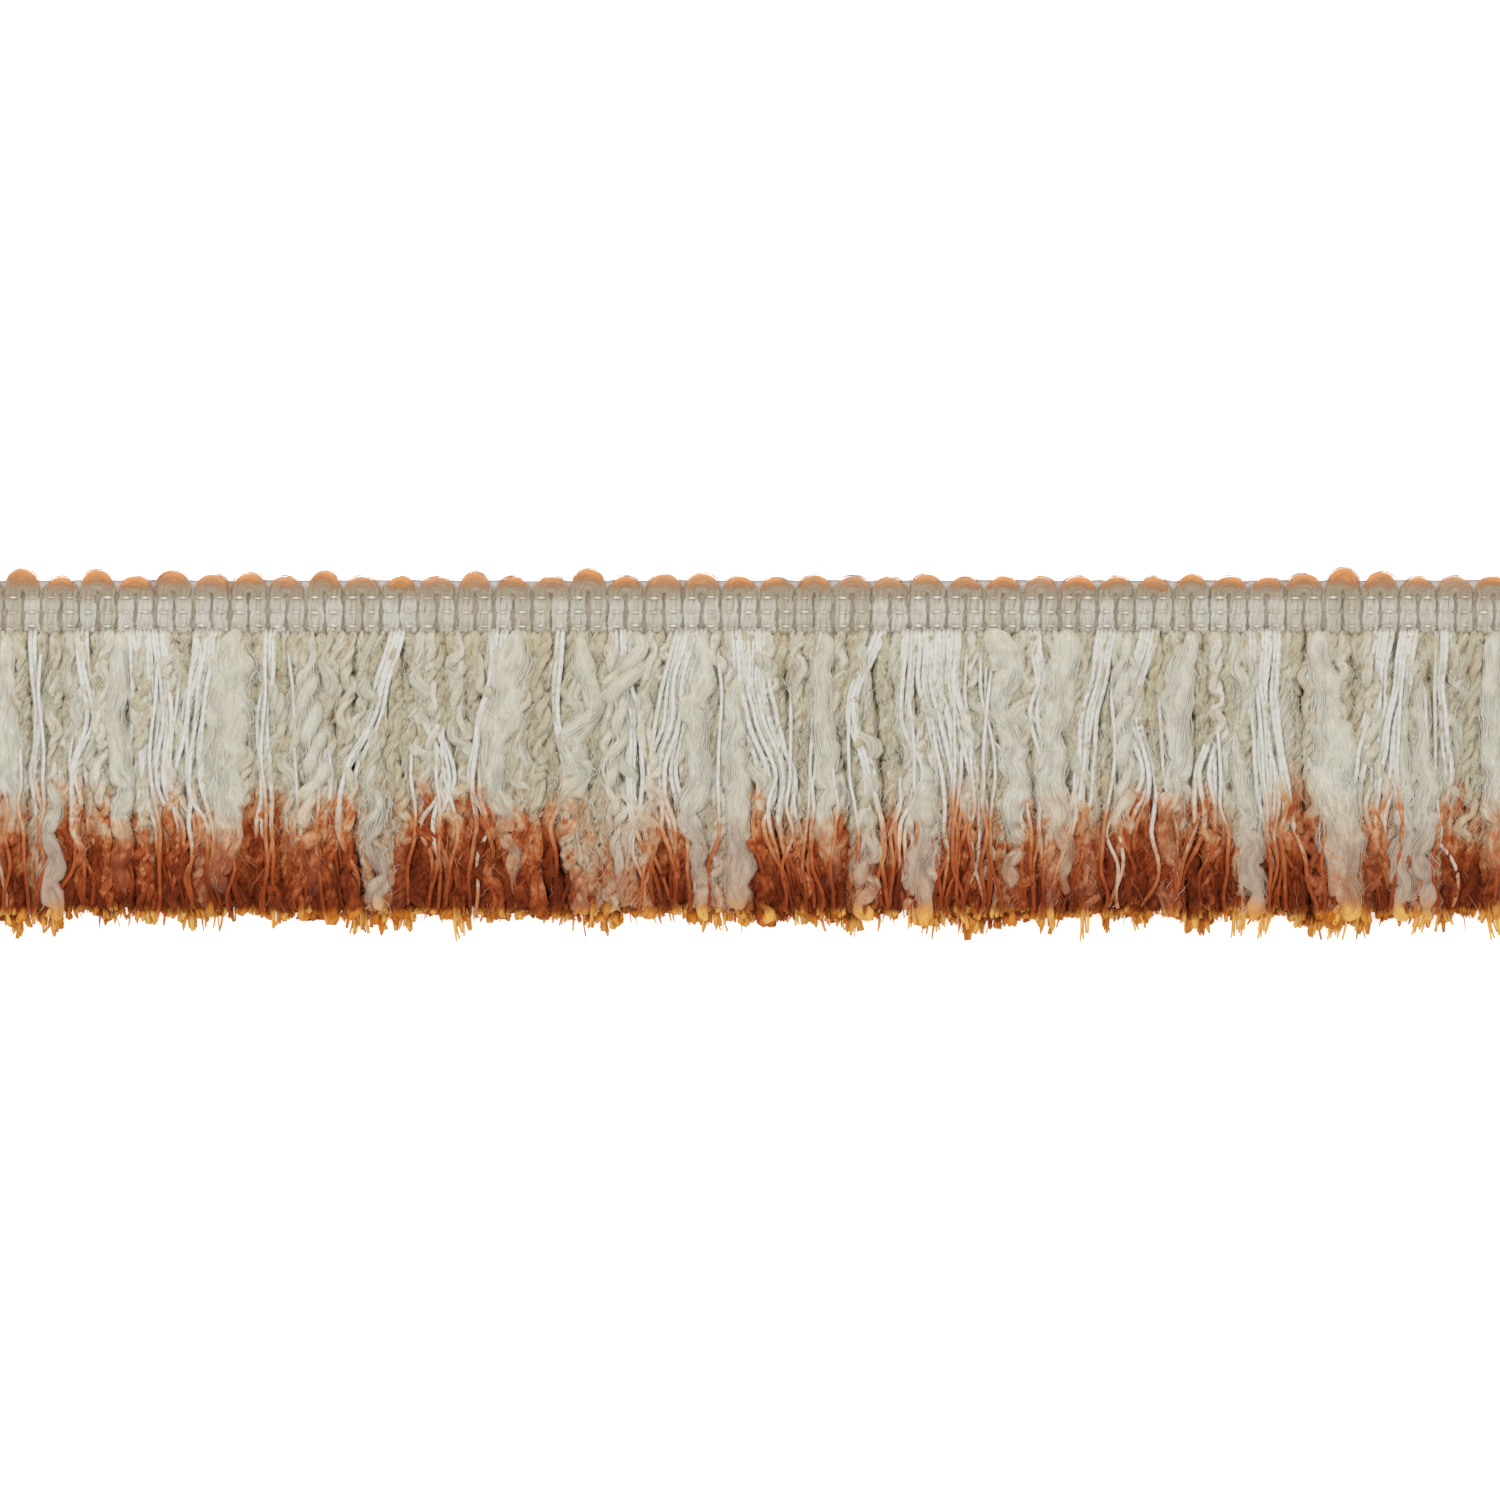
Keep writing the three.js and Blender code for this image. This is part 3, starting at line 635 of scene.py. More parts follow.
# Slubs: how white each one stays, then its height, place and width at stops down the skirt.
SLUBS = (
    (1.0, (-34.8, -141.4, 1.6), (-42.8, -141.6, 3.4), (-50.8, -141.4, 4.0), (-58.8, -141.2, 4.4)),
    (0.2, (-5.6, -104.0, 4.0), (-12.8, -105.2, 8.4), (-22.8, -106.2, 9.0), (-34.8, -106.4, 8.0),
     (-44.8, -106.6, 5.6), (-56.0, -107.4, 3.0)),
    (1.0, (-26.8, -77.4, 1.6), (-36.8, -76.8, 2.4), (-46.8, -76.4, 3.4), (-54.8, -76.2, 3.2),
     (-60.6, -75.8, 5.0)),
    (0.55, (-5.6, -48.6, 4.8), (-13.8, -48.2, 8.0), (-22.8, -52.6, 6.8), (-30.8, -53.8, 5.8),
     (-40.8, -51.2, 4.0), (-50.8, -48.6, 2.4), (-57.8, -48.2, 1.8)),
    (0.6, (-6.6, -25.6, 3.6), (-9.8, -22.4, 5.2), (-13.2, -25.6, 5.6), (-16.6, -28.8, 4.8),
     (-20.4, -26.8, 4.4), (-27.0, -28.0, 4.4), (-33.4, -29.4, 3.6)),
    (0.9, (-6.8, -11.6, 4.0), (-14.8, -9.6, 5.0), (-19.4, -13.6, 5.2), (-25.6, -12.6, 5.0),
     (-31.0, -11.4, 5.0), (-38.0, -13.2, 4.4), (-44.0, -14.2, 4.0), (-50.0, -11.6, 3.8),
     (-57.0, -10.6, 3.6)),
    (0.9, (-18.8, -4.0, 4.6), (-27.8, -5.6, 5.6), (-36.8, -3.2, 5.4), (-46.8, -5.0, 5.2),
     (-56.8, -4.2, 5.0), (-61.0, -4.6, 3.6)),
    (0.9, (-34.0, 33.6, 2.6), (-40.0, 32.8, 4.6), (-48.0, 32.4, 5.0), (-57.0, 32.0, 6.0)),
    (0.7, (-6.6, 46.0, 5.0), (-10.0, 51.6, 7.0), (-13.0, 50.6, 6.8), (-16.6, 47.6, 4.8),
     (-22.0, 48.6, 4.4), (-27.0, 52.0, 4.8), (-32.0, 49.4, 4.6), (-36.0, 53.2, 4.4), (-41.0, 50.4, 4.2),
     (-48.0, 52.6, 3.4), (-56.0, 50.4, 3.0)),
    (0.6, (-6.6, 62.6, 4.4), (-11.0, 62.0, 7.4), (-17.0, 59.8, 6.2), (-23.0, 58.8, 5.2),
     (-31.0, 58.8, 5.8), (-39.0, 58.8, 6.0), (-46.0, 60.8, 3.4), (-55.0, 62.0, 1.8)),
    (0.3, (-7.6, 86.4, 3.6), (-16.8, 84.0, 6.6), (-25.8, 84.4, 5.6), (-36.8, 82.8, 4.4),
     (-46.8, 82.4, 3.0)),
    (1.0, (-28.8, 95.6, 2.4), (-38.8, 97.4, 4.4), (-47.8, 98.8, 4.8), (-57.0, 99.4, 4.4)),
    (0.75, (-8.8, 112.4, 3.6), (-16.8, 113.0, 7.2), (-27.0, 115.6, 8.6), (-38.0, 116.6, 8.4),
     (-48.8, 117.2, 8.0), (-59.0, 117.8, 6.4)),
    (1.0, (-20.8, 128.4, 3.0), (-30.8, 129.2, 4.2), (-42.0, 129.6, 4.2), (-58.6, 129.2, 4.0)),
    (1.0, (-22.8, 132.4, 3.0), (-33.8, 133.4, 4.2), (-46.0, 133.0, 4.4), (-59.4, 133.8, 3.8)),
    (0.8, (-42.8, 21.0, 2.6), (-50.0, 21.6, 4.0), (-58.0, 21.4, 4.4)),
    (0.3, (-7.0, -36.0, 3.0), (-13.6, -34.0, 4.6), (-20.0, -31.6, 4.4), (-27.0, -38.4, 4.6),
     (-33.0, -34.4, 5.4), (-37.0, -38.8, 4.2), (-43.0, -37.4, 3.0)),
    (0.2, (-8.0, 13.6, 3.0), (-18.0, 12.6, 4.8), (-30.0, 14.2, 5.0), (-42.0, 13.4, 4.2),
     (-52.0, 14.4, 3.2)),
    (0.1, (-8.0, -127.6, 3.4), (-20.0, -128.6, 5.0), (-33.0, -127.0, 4.6), (-45.0, -128.0, 3.6),
     (-55.0, -127.4, 2.8)),
    (0.1, (-8.0, -89.0, 3.0), (-18.0, -90.2, 4.6), (-30.0, -88.6, 4.8), (-44.0, -89.4, 3.8),
     (-56.0, -88.8, 3.0)),
    (0.2, (-8.0, 148.0, 3.6), (-20.0, 147.0, 5.4), (-33.0, 148.4, 5.0), (-46.0, 147.6, 3.8),
     (-57.0, 148.4, 3.0)),
    (0.3, (-8.0, 73.4, 3.0), (-20.0, 72.6, 4.2), (-32.0, 73.8, 4.4), (-44.0, 72.8, 3.2)),
    (0.1, (-8.0, -150.0, 3.0), (-20.0, -151.0, 4.6), (-34.0, -149.6, 4.6), (-48.0, -150.4, 3.4)),
)


def slub_frame(stops, points):
    """Middle line and half widths at even steps along a slub, thin yarn above and below its stops."""
    stops = list(stops)
    y, x, width = stops[0]
    if y < -9.0:
        stops.insert(0, (0.5 * (y + ROOT_Y), x + 0.4, min(width, 1.8)))
    stops.insert(0, (ROOT_Y + 0.4, stops[0][1] + 0.2, 0.8 * stops[0][2]))
    y, x, width = stops[-1]
    if y > -57.0:
        stops += [(0.5 * (y - 59.5), x + 0.3, 1.6), (-59.8, x - 0.2, 1.3)]
    elif y > -60.2:
        stops.append((-62.8, x + 0.3, 0.7 * width))
    stops = np.array(stops)
    step = np.linalg.norm(np.diff(stops[:, :2], axis=0), axis=1)
    at = np.concatenate([[0], np.cumsum(step)])
    t = np.linspace(0, at[-1], points)
    y, x, width = (mellow(eased(-t, -at, stops[:, column])) for column in range(3))
    return x, y, 0.5 * np.maximum(width, 1.1), t


def mellow(line, reach=11, strength=4.4):
    """The same line with its corners rounded and its two ends kept."""
    weights = np.exp(-0.5 * (np.arange(-reach, reach + 1) / strength) ** 2)
    before = 2 * line[0] - line[reach:0:-1]
    after = 2 * line[-1] - line[-2:-reach - 2:-1]
    return np.convolve(np.concatenate([before, line, after]), weights / weights.sum(), "valid")


def slub_lumps(t, sides, number):
    """How a fat slub swells in soft clouds, by point along it and side."""
    side = np.cos(np.arange(sides) * 2 * np.pi / sides)[None]
    broad = drift2(1.9 * side + 9.0 * number, t[:, None] / 3.4, 57)
    small = drift2(4.4 * side + 5.0 * number, t[:, None] / 1.6, 58)
    return 1 + 0.30 * broad + 0.18 * small


FAT = 2.75  # from this half width a slub is one fat roving


def slubs():
    """Fat soft rovings, and the fine fibres that wrap them."""
    body, hairs = Yarns(), Yarns()
    points = 88
    for number, (whiteness, *stops) in enumerate(SLUBS):
        x, y, half, t = slub_frame(stops, points)
        share = t / t[-1]
        phase = 2 * np.pi * (t / 11.0 + 0.8 * noise1(t / 12.0, 60 + number)) + number
        curly = smooth(-24.0, -42.0, y) * smooth(3.4, 2.0, half)
        x = kept(x + 1.4 * drift1(t / 7.0, 40 + number) + (0.30 + 0.50 * curly) * np.sin(phase))
        uneven = 0.44 * drift1(t / 3.6, 70 + number)
        half = half * (1 + uneven + (0.04 + 0.18 * curly) * np.cos(2 * phase))
        half = tapered(half, share, 0.05, 0.05, 0.3)
        tall = np.minimum(0.80 * half, 1.6)
        z = rise(y, 1.5, 3.8) - 0.8 * smooth(1.6, 0.6, half)
        white = whiteness * (1 - 0.12 * smooth(-51.0, -58.0, y))
        dye = dye_at(x, y, -1.5, white)
        lilac = 0.75 * white * smooth(-38.0, -52.0, y)
        gold = 0.9 * amber_glow_at(y, -57.4, 4.6)
        tone = 0.25 + 0.6 * scatter(number, 41)
        if half.max() < FAT:
            # A thinner one is two soft strands twisted together.
            row = lambda v: np.asarray(v)[None]
            period, start = 10.5 + 3.0 * scatter(number, 55), 6.3 * scatter(number, 56)
            ply(body, row(x), row(y), row(z), 2, 0.50 * row(half), 0.66 * row(half), period, start, 9,
                row(dye), np.array([tone]), row(gold), row(lilac))
        else:
            sides = 16
            body.add(joined(x, y, z)[None], half, tall, sides, dye, tone, amber=gold, lilac=lilac,
                     lumps=slub_lumps(t, sides, number)[None])
        # Fibres lie on it side by side, wander round it and leave its sides here and there.
        count = int(26 + 22.0 * half.max())
        key = np.arange(count)[:, None]
        u = np.linspace(0, 1, 10)[None]
        begin, reach = 0.84 * scatter(key, 42 + number), 0.10 + 0.14 * scatter(key, 43 + number)
        at = np.clip(begin + u * reach, 0, 0.985) * t[-1]
        pick = lambda v: np.interp(at, t, v)
        angle = np.pi * (0.04 + 0.92 * scatter(key, 44 + number))
        angle = angle + 0.9 * drift1(at / 7.0 + 11 * key, 45)
        angle = angle + 1.2 * drift1(at / 12.0, 52 + number)
        stray = 1.1 * (2 * np.abs(u - 0.5)) ** 4 * scatter(key, 48) ** 2
        swell = 1 + 0.30 * drift2(-1.9 * np.cos(angle) + 9.0 * number, at / 3.4, 57)
        loose = swell + 0.06 * noise1(at / 3.0 + 5 * key, 46) + stray / (0.6 + pick(half))
        hx = pick(x) - loose * pick(half) * np.cos(angle)
        hz = pick(z) + loose * pick(tall) * np.sin(angle)
        hy = pick(y)
        thin = (0.08 + 0.09 * scatter(key, 49)) * (0.45 + 0.55 * np.sin(np.pi * u))
        hairs.add(joined(hx, hy, hz), thin, thin, 3, pick(dye), scatter(key[:, 0], 47),
                  amber=0.9 * amber_glow_at(hy, -57.0, 4.6), lilac=pick(lilac))
    return body, hairs


# Cord clusters: each one's middle at the four heights below, how wide it fans at the bottom, how
# many cords it has and, where it comes out from under the other yarns, the height of that place.
CLUSTERS = (
    ((-155.4, -155.0, -155.6, -155.2), 2.6, 3),
    ((-145.2, -145.0, -145.6, -145.4), 2.6, 2),
    ((-135.2, -134.6, -134.0, -133.6), 3.0, 3),
    ((-126.0, -125.6, -125.6, -125.4), 2.0, 2),
    ((-122.0, -120.0, -120.0, -115.2), 8.0, 9),
    ((-110.0, -111.6, -113.6, -108.6), 9.0, 7),
    ((-97.6, -98.0, -98.4, -97.6), 2.0, 3),
    ((-72.0, -75.6, -80.6, -81.4), 2.4, 4),
    ((-86.0, -86.4, -85.8, -85.4), 6.4, 5, -25.0),
    ((-69.0, -67.6, -63.6, -64.2), 3.0, 4, -19.0),
    ((-51.6, -53.2, -55.6, -54.6), 6.0, 4),
    ((-39.4, -40.0, -38.6, -39.8), 1.2, 2),
    ((-27.0, -26.4, -25.8, -19.6), 4.0, 4),
    ((-13.2, -17.6, -18.6, -16.4), 10.0, 8),
    ((-1.6, -0.4, 2.6, 7.6), 13.0, 10),
    ((24.8, 19.8, 22.4, 25.4), 2.4, 3),
    ((30.4, 29.4, 30.0, 28.0), 4.0, 4),
    ((36.4, 36.6, 40.6, 39.6), 13.0, 11),
    ((55.4, 56.0, 56.4, 56.2), 2.0, 3),
    ((69.8, 66.8, 64.4, 58.4), 5.0, 5),
    ((78.4, 75.4, 78.4, 71.6), 6.0, 5),
    ((90.6, 91.0, 90.4, 89.6), 8.0, 5, -25.0),
    ((101.4, 101.4, 103.4, 107.4), 7.0, 8),
    ((125.4, 122.4, 118.4, 124.0), 7.0, 5),
    ((130.4, 127.4, 124.0, 125.4), 3.0, 5),
    ((137.4, 137.0, 137.6, 138.0), 1.4, 2),
    ((153.4, 153.0, 153.6, 153.2), 3.0, 3),
)
CLUSTER_STOPS = (-5.0, -18.8, -34.8, -59.8)
WHITE_CORDS = 0.12  # this share of the cords takes up little dye


def add_cords(yarns, path, t, wide, tall, dye, seed):
    """Adds smooth cords that narrow only at their very ends."""
    wide, tall = tapered(wide, t, 0.01, 0.01, 0.8), tapered(tall, t, 0.01, 0.01, 0.8)
    yarns.add(path, wide, tall, 5, dye, seed, amber=0.9 * amber_glow_at(path[..., 1], -60.4))


def cords():
    """Smooth two-ply cords that hang in fanning clusters over the rest."""
    yarns = Yarns()
    points = 42
    t = np.linspace(0, 1, points)[None]
    for number, (middles, fan, n, *shows) in enumerate(CLUSTERS):
        key = np.arange(n)
        place = (key - (n - 1) / 2)[:, None]
        seed = scatter(key, 80 + number)
        tip = tip_line(middles[3] + 0.7 * place[:, 0], 90 + number, 1.8)[:, None]
        first = shows[0] if shows else ROOT_Y + 0.4
        y = first + (tip - first) * t
        middle = eased(y, CLUSTER_STOPS, middles)
        pack = 0.80 if n > 4 else 0.86
        spread = eased(y, CLUSTER_STOPS, (pack, 0.72, 0.82, fan / n))
        loose = 0.3 + 2.6 * smooth(-26.0, -55.0, y)
        order = place + loose * jitter(key, 110 + number)[:, None]
        free = smooth(-12.0, -48.0, y)
        wander = (0.80 + 1.3 * free) * drift1(y / 11.0 + 3.0 * key[:, None], 120 + number)
        wander = wander + 1.5 * free * drift1(y / 5.5 + 8.0 * key[:, None], 125 + number)
        wander = wander + 3.6 * drift1(y / 11.0, 115 + number) * smooth(-6.0, -22.0, y)
        x = kept(middle + spread * order + wander * smooth(-6.0, -16.0, y))
        lift = 0.9 * drift1(y / 11.0 + 7.0 * key[:, None], 140 + number) + 0.12 * (key[:, None] % 2)
        z = rise(y, 2.3, 4.2) + lift * smooth(-6.0, -16.0, y)
        z = z - 2.0 * (first < -6) * (1 - smooth(0, 0.12, t))
        sunk = smooth(0.35, 1.0, scatter(key, 130 + number)) * (seed >= WHITE_CORDS)
        z = z - 0.8 * sunk[:, None] * smooth(-40.0, -52.0, y)
        share = (0.42 + 0.42 * scatter(key, 100 + number)[:, None]) * (1 + 0.55 * smooth(-45.0, -58.0, y))
        white = np.where(seed < WHITE_CORDS, 0.5, 0.0)[:, None]
        dye = share * dye_at(x, y, (seed[:, None] - 0.6) * 8.0, white, 0.3)
        size = (0.54 + 0.08 * seed[:, None]) * (1 - 0.22 * smooth(-40.0, -54.0, y))
        add_cords(yarns, joined(x, y, z), t, size, 0.62 * size, dye, 0.6 + 0.4 * seed)
    # Single cords that show here and there between the clusters.
    count = 56
    key = np.arange(count)
    seed = scatter(key, 161)
    x0 = LEFT + 3.0 + (LENGTH - 6.0) * scatter(key, 162)
    tip = tip_line(x0, 163, 2.4)[:, None]
    first = np.where(scatter(key, 164) < 0.2, ROOT_Y, -8.0 - 30.0 * scatter(key, 165))[:, None]
    y = first + (tip - first) * t
    slant = 9.0 * jitter(key, 166)[:, None]
    wave = 2.6 * drift1(y / 15.0 + 5.0 * key[:, None], 167)
    wave = wave + 2.4 * smooth(-30.0, -46.0, y) * drift1(y / 6.5 + 9.0 * key[:, None], 168)
    x = kept(x0[:, None] + slant * (ROOT_Y - y) / SKIRT_DEPTH + wave * smooth(-6.0, -20.0, y))
    sunk = smooth(0, 1, 6.0 * t)
    z = rise(y, 2.6, 4.2 + 1.0 * seed[:, None], -14.0) * np.where(first < -6, 0.62 + 0.38 * sunk, 1.0)
    white = np.where(seed < WHITE_CORDS, 0.6, 0.0)[:, None]
    dye = 0.7 * dye_at(x, y, (seed[:, None] - 0.5) * 8.0, white, 0.3)
    add_cords(yarns, joined(x, y, z), t, 0.42, 0.38, dye, 0.5 + 0.5 * seed)
    return yarns


def fuzz(count, salt, low, high, z_low, z_high, length_low, length_high, curl):
    """Fine loose fibres that lie over the skirt."""
    key = np.arange(count)[:, None]
    u = np.linspace(-0.5, 0.5, 5)[None]
    x0 = LEFT + 2.5 + (LENGTH - 5.0) * scatter(key, salt)
    y0 = low + (high - low) * scatter(key, salt + 1)
    long = length_low + (length_high - length_low) * scatter(key, salt + 2) ** 2
    lean = 0.9 * jitter(key, salt + 3) * np.pi * curl
    bend = 3.0 * jitter(key, salt + 4)
    side = u * long * np.sin(lean) + bend * (u * u - 0.1) * long * 0.35
    ripple = 0.35 * curl * np.sin(2 * np.pi * (2.2 * u + scatter(key, salt + 5)))
    x = kept(x0 + sway(x0, y0) + side + ripple)
    y = np.minimum(y0 - u * long * np.cos(lean), ROOT_Y + 1.2 * scatter(key, salt + 10))
    z = z_low + (z_high - z_low) * scatter(key, salt + 6) + 0.5 * drift1(3 * u + key, salt + 7)
    z = z * (0.62 + 0.38 * smooth(-5.0, -13.0, y))
    white = np.clip(resist_at(x0) + (scatter(key, salt + 8) < 0.12) * 0.5, 0, 1)
    dye = 0.95 * dye_at(x, y, 0.0, white)
    thin = 0.08 * (0.5 + 0.5 * np.sin(np.pi * (u + 0.5)))
    yarns = Yarns()
    yarns.add(joined(x, y, z), thin, thin, 3, dye, scatter(key[:, 0], salt + 9),
              lilac=0.3 * white * smooth(-42, -54, y))
    return yarns


# Longer tufts: middle, lowest point and how many straws.
TUFTS = (
    (-141.0, -64.8, 8), (-97.0, -64.4, 4), (-80.0, -65.6, 7), (-60.2, -67.0, 8), (-33.0, -64.2, 5),
    (8.0, -64.0, 5), (31.0, -64.6, 7), (36.0, -65.2, 8), (44.0, -64.6, 5), (65.4, -67.0, 6),
    (75.0, -65.0, 6), (96.6, -66.4, 11), (102.0, -66.6, 9), (116.6, -66.8, 12), (121.0, -65.0, 6),
    (133.4, -65.8, 10), (147.0, -66.8, 10),
)


def cut_ends():
    """The lower edge: stiff flat flakes, split straws and a few longer tufts."""
    yarns = Yarns()
    for count, points, salt, least, most, thin, thick, flat, shift in (
        (760, 5, 600, 2.4, 4.2, 0.26, 0.95, 0.34, -0.8),
        (320, 6, 620, 2.0, 4.6, 0.13, 0.28, 0.80, -0.4),
    ):
        key = np.arange(count)
        x0 = LEFT + 1.8 + (LENGTH - 3.6) * scatter(key, salt)
        seed = scatter(key, salt + 1)
        group = smooth(0.45, 0.80, noise1(x0 / 3.2, salt + 2))
        line = SKIRT_Y + shift + edge_wave(x0)
        long = (least + (most - least) * scatter(key, salt + 3) ** 2) * (0.60 + 0.75 * group)
        u = np.linspace(0, 1, points)[None]
        y = (line + 0.9)[:, None] - u * long[:, None]
        lean = (1.8 * jitter(key, salt + 4))[:, None]
        x = kept(x0[:, None] + lean * u * u + 0.3 * drift1(3 * u + key[:, None], salt + 5))
        wide = (thin + (thick - thin) * scatter(key, salt + 6) ** 2.2)[:, None]
        wide = wide * (1 - 0.5 * u**3 + 0.8 * drift1(4 * u + 3.0 * key[:, None], salt + 7))
        z = np.maximum((0.4 + 3.6 * scatter(key, salt + 8))[:, None] * (1 - 0.30 * u), flat * wide + 0.1)
        # Towards their ends the flakes take the amber colours, a painted glow of light shining through
        # them.
        amber = 0.15 + 0.85 * smooth(0.05, 0.50, u)
        tone = np.clip(0.02 + 0.80 * seed + 0.22 * group, 0, 1)
        yarns.add(joined(x, y, z), wide, flat * wide, 4, 1.0, tone, amber=amber)
    for middle, reach, number in TUFTS:
        key = np.arange(number)[:, None]
        u = np.linspace(0, 1, 8)[None]
        x = middle + 0.30 * (key - number / 2) * (1.2 - 0.4 * u) + 0.3 * np.sin(3.0 * u + key)
        x = x + 3.0 * jitter(middle, 642) * u * u
        y = -58.0 + (reach + 58.0 + 1.8 * scatter(key, 640) ** 2) * u
        z = 4.4 - 3.0 * u + 0.3 * (key % 3)
        tone = 0.65 + 0.35 * scatter(key[:, 0], 641 + number)
        yarns.add(joined(x, y, z), 0.36 * (1 - 0.5 * u), 0.22 * (1 - 0.4 * u), 5, 0.9 - 0.5 * u, tone,
                  amber=smooth(0.1, 0.6, u))
    return yarns


# The heading

def near_cords(x):
    """1 where the weft of a heading rib is smooth white cord."""
    roots = np.array([middles[0] for middles, *_ in CLUSTERS])
    reach = np.array([0.45 * n + 0.6 for _, _, n, *_ in CLUSTERS])
    return np.max(smooth(0, 1, 1.5 - np.abs(x[:, None] - roots) / reach), axis=1)


def heading_ribs():
    """The weft yarns of each rib, three across, pinched where the binding threads cross."""
    points = 22
    t = np.linspace(0, 1, points)[None]
    key = np.arange(RIB_COUNT)
    y = 4.3 + 0.3 * scatter(key, 218)[:, None] - (10.2 + 0.6 * scatter(key, 219)[:, None]) * t
    x0 = LEFT + (key + 0.5) * RIB_PITCH + 0.36 * jitter(key, 217)
    x0 = np.clip(x0, LEFT + 1.8, -LEFT - 1.8)
    pinch = 0.7 * sum(np.exp(-(((y - row) / 0.38) ** 2)) for row in BINDING_ROWS)
    white = near_cords(x0)
    yarns = Yarns()
    for strand, (offset, lift) in enumerate(((-0.92, -0.10), (0.0, 0.10), (0.92, -0.10))):
        salt = 220 + 5 * strand
        wobble = 0.26 * drift1(y / 2.2 + 9.0 * key[:, None], salt)
        size = 0.78 + 0.12 * jitter(key, salt)[:, None]
        size = size * (1 + 0.24 * drift1(y / 1.4 + 5.0 * key[:, None], salt + 1))
        x = x0[:, None] + offset * (1 - 0.14 * pinch) + wobble
        uneven = 0.24 * drift1(y / 2.0 + 7 * key[:, None], salt + 2)
        z = 1.74 + lift - 0.30 * pinch - 0.9 * smooth(2.4, 4.3, y) + uneven
        fall = 0.8 * smooth(-4.9, -6.2, y)
        seed = np.clip(0.75 * scatter(key, salt + 3) * (1 - white) + white, 0, 1)
        size = tapered(size * (1 - 0.16 * pinch), t, 0.06, 0.06, 0.3)
        # The upper part of the ribs takes a darker tint, painted shade where they run in under the loops.
        ply(yarns, x, y, z - fall, 2, 0.20, size, 11.0, 6.3 * scatter(key, salt + 4)[:, None], 4,
            0.0, seed, 0.0, 0.85 * smooth(-0.6, 3.0, y))
    return yarns


def binding_threads():
    """Threads that cross the ribs in three rows and dip between them."""
    steps = 7
    points = RIB_COUNT * steps + 1
    x = np.linspace(LEFT + 0.3, -LEFT - 0.3, points)
    yarns = Yarns()
    for row, y0 in enumerate(BINDING_ROWS):
        phase = (x - LEFT) / RIB_PITCH
        crown = np.abs(np.sin(np.pi * phase)) ** 1.3
        rib = np.floor(phase)
        y = y0 + 0.24 * jitter(rib, 250 + row) + 0.1 * drift1(x / 1.3, 252 + row)
        z = 1.25 + 1.50 * crown + 0.16 * jitter(rib, 255 + row)
        size = (0.05 + 0.26 * crown**6) * (0.35 + 0.95 * scatter(rib, 258 + row))
        yarns.add(joined(x, y, z)[None], size, 0.8 * size, 5, 0.0, 0.9)
    return yarns


# How much taller some loops stand, by their number from the left.
TALL_LOOPS = {2: 1.6, 4: 1.4, 6: 1.2, 7: 0.6, 8: 0.7, 10: 1.2, 14: 1.0, 17: 1.6,
              19: 0.6, 20: 0.7, 23: 0.4, 26: 0.6, 33: 0.6, 36: 0.6, 37: 1.8, 38: 1.0}
LOOP_FOOT = 1.6  # the loops begin at this height
LOOP_HALF = 2.70  # half width of an arch
ARCH = 0.62  # how square an arch is, less is squarer


def edge_loops():
    """Soft turns of the weft: nested arches that close into a dome over two ribs."""
    yarns = Yarns()
    points = 14
    angle = np.linspace(np.pi, 0, points)[None]
    key = np.arange(1, LOOP_COUNT + 1)
    extra = np.array([TALL_LOOPS.get(int(k), 0.2 * scatter(int(k), 1)) for k in key])[:, None]
    x0 = (LEFT + (key - 0.5) * LOOP_PITCH)[:, None]
    lean = 0.5 * jitter(key, 260)[:, None]
    stout = 0.84 + 0.26 * scatter(key, 261)[:, None]
    for ring, share in enumerate((1.0, 0.79, 0.58, 0.37)):
        across = LOOP_HALF * share * stout
        reach = (3.0 + extra) * (0.10 + 0.90 * share)
        high = np.sin(angle) ** ARCH
        x = x0 + across * np.cos(angle) + lean * high * share
        y = LOOP_FOOT + (reach + 0.4) * high
        z = 0.70 + 1.45 * high - 0.7 * (1 - share) + 0.12 * jitter(key + 50 * ring, 262)[:, None]
        foot = smooth(0.0, 0.45, high)
        uneven = 1 + 0.08 * drift1(5 * angle + 7.0 * key[:, None], 265)
        size = (0.80 + 0.06 * extra + 0.14 * (ring > 0)) * (0.75 + 0.25 * foot) * uneven
        # The colour rises to apricot towards the crown: partly dye, partly a painted glow of light shining
        # through the loop.
        level = (y - LOOP_FOOT) / (3.4 + extra)
        patchy = 0.15 * jitter(key, 263)[:, None]
        dye = np.clip(level * (0.72 + 0.28 * share**2) + patchy + 0.08 * extra * level, 0, 1)
        paleness = scatter(key, 264) * (1 - 0.4 * extra[:, 0])
        yarns.add(joined(x, y, z), size, 1.05 * size, 7, dye, np.clip(paleness, 0, 1))
    # Fine hairs that stand off the crowns.
    count = 9 * LOOP_COUNT
    hair = np.arange(count)
    loop = hair % LOOP_COUNT
    u = np.linspace(-0.5, 0.5, 5)[None]
    turn = np.pi * (0.14 + 0.72 * scatter(hair, 266))[:, None]
    turn = turn + u * (0.4 + 0.9 * scatter(hair, 267))[:, None]
    off = (0.55 + 0.55 * scatter(hair, 268))[:, None] + 0.5 * u * jitter(hair, 269)[:, None]
    high = np.abs(np.sin(turn)) ** ARCH
    x = x0[loop] + (LOOP_HALF * stout[loop] + off) * np.cos(turn) + lean[loop] * high
    y = LOOP_FOOT + (3.4 + extra[loop] + off) * high
    z = 1.4 + 1.0 * scatter(hair, 270)[:, None]
    yarns.add(joined(kept(x), y, z), 0.07, 0.07, 3, 0.95, scatter(hair, 271))
    return yarns


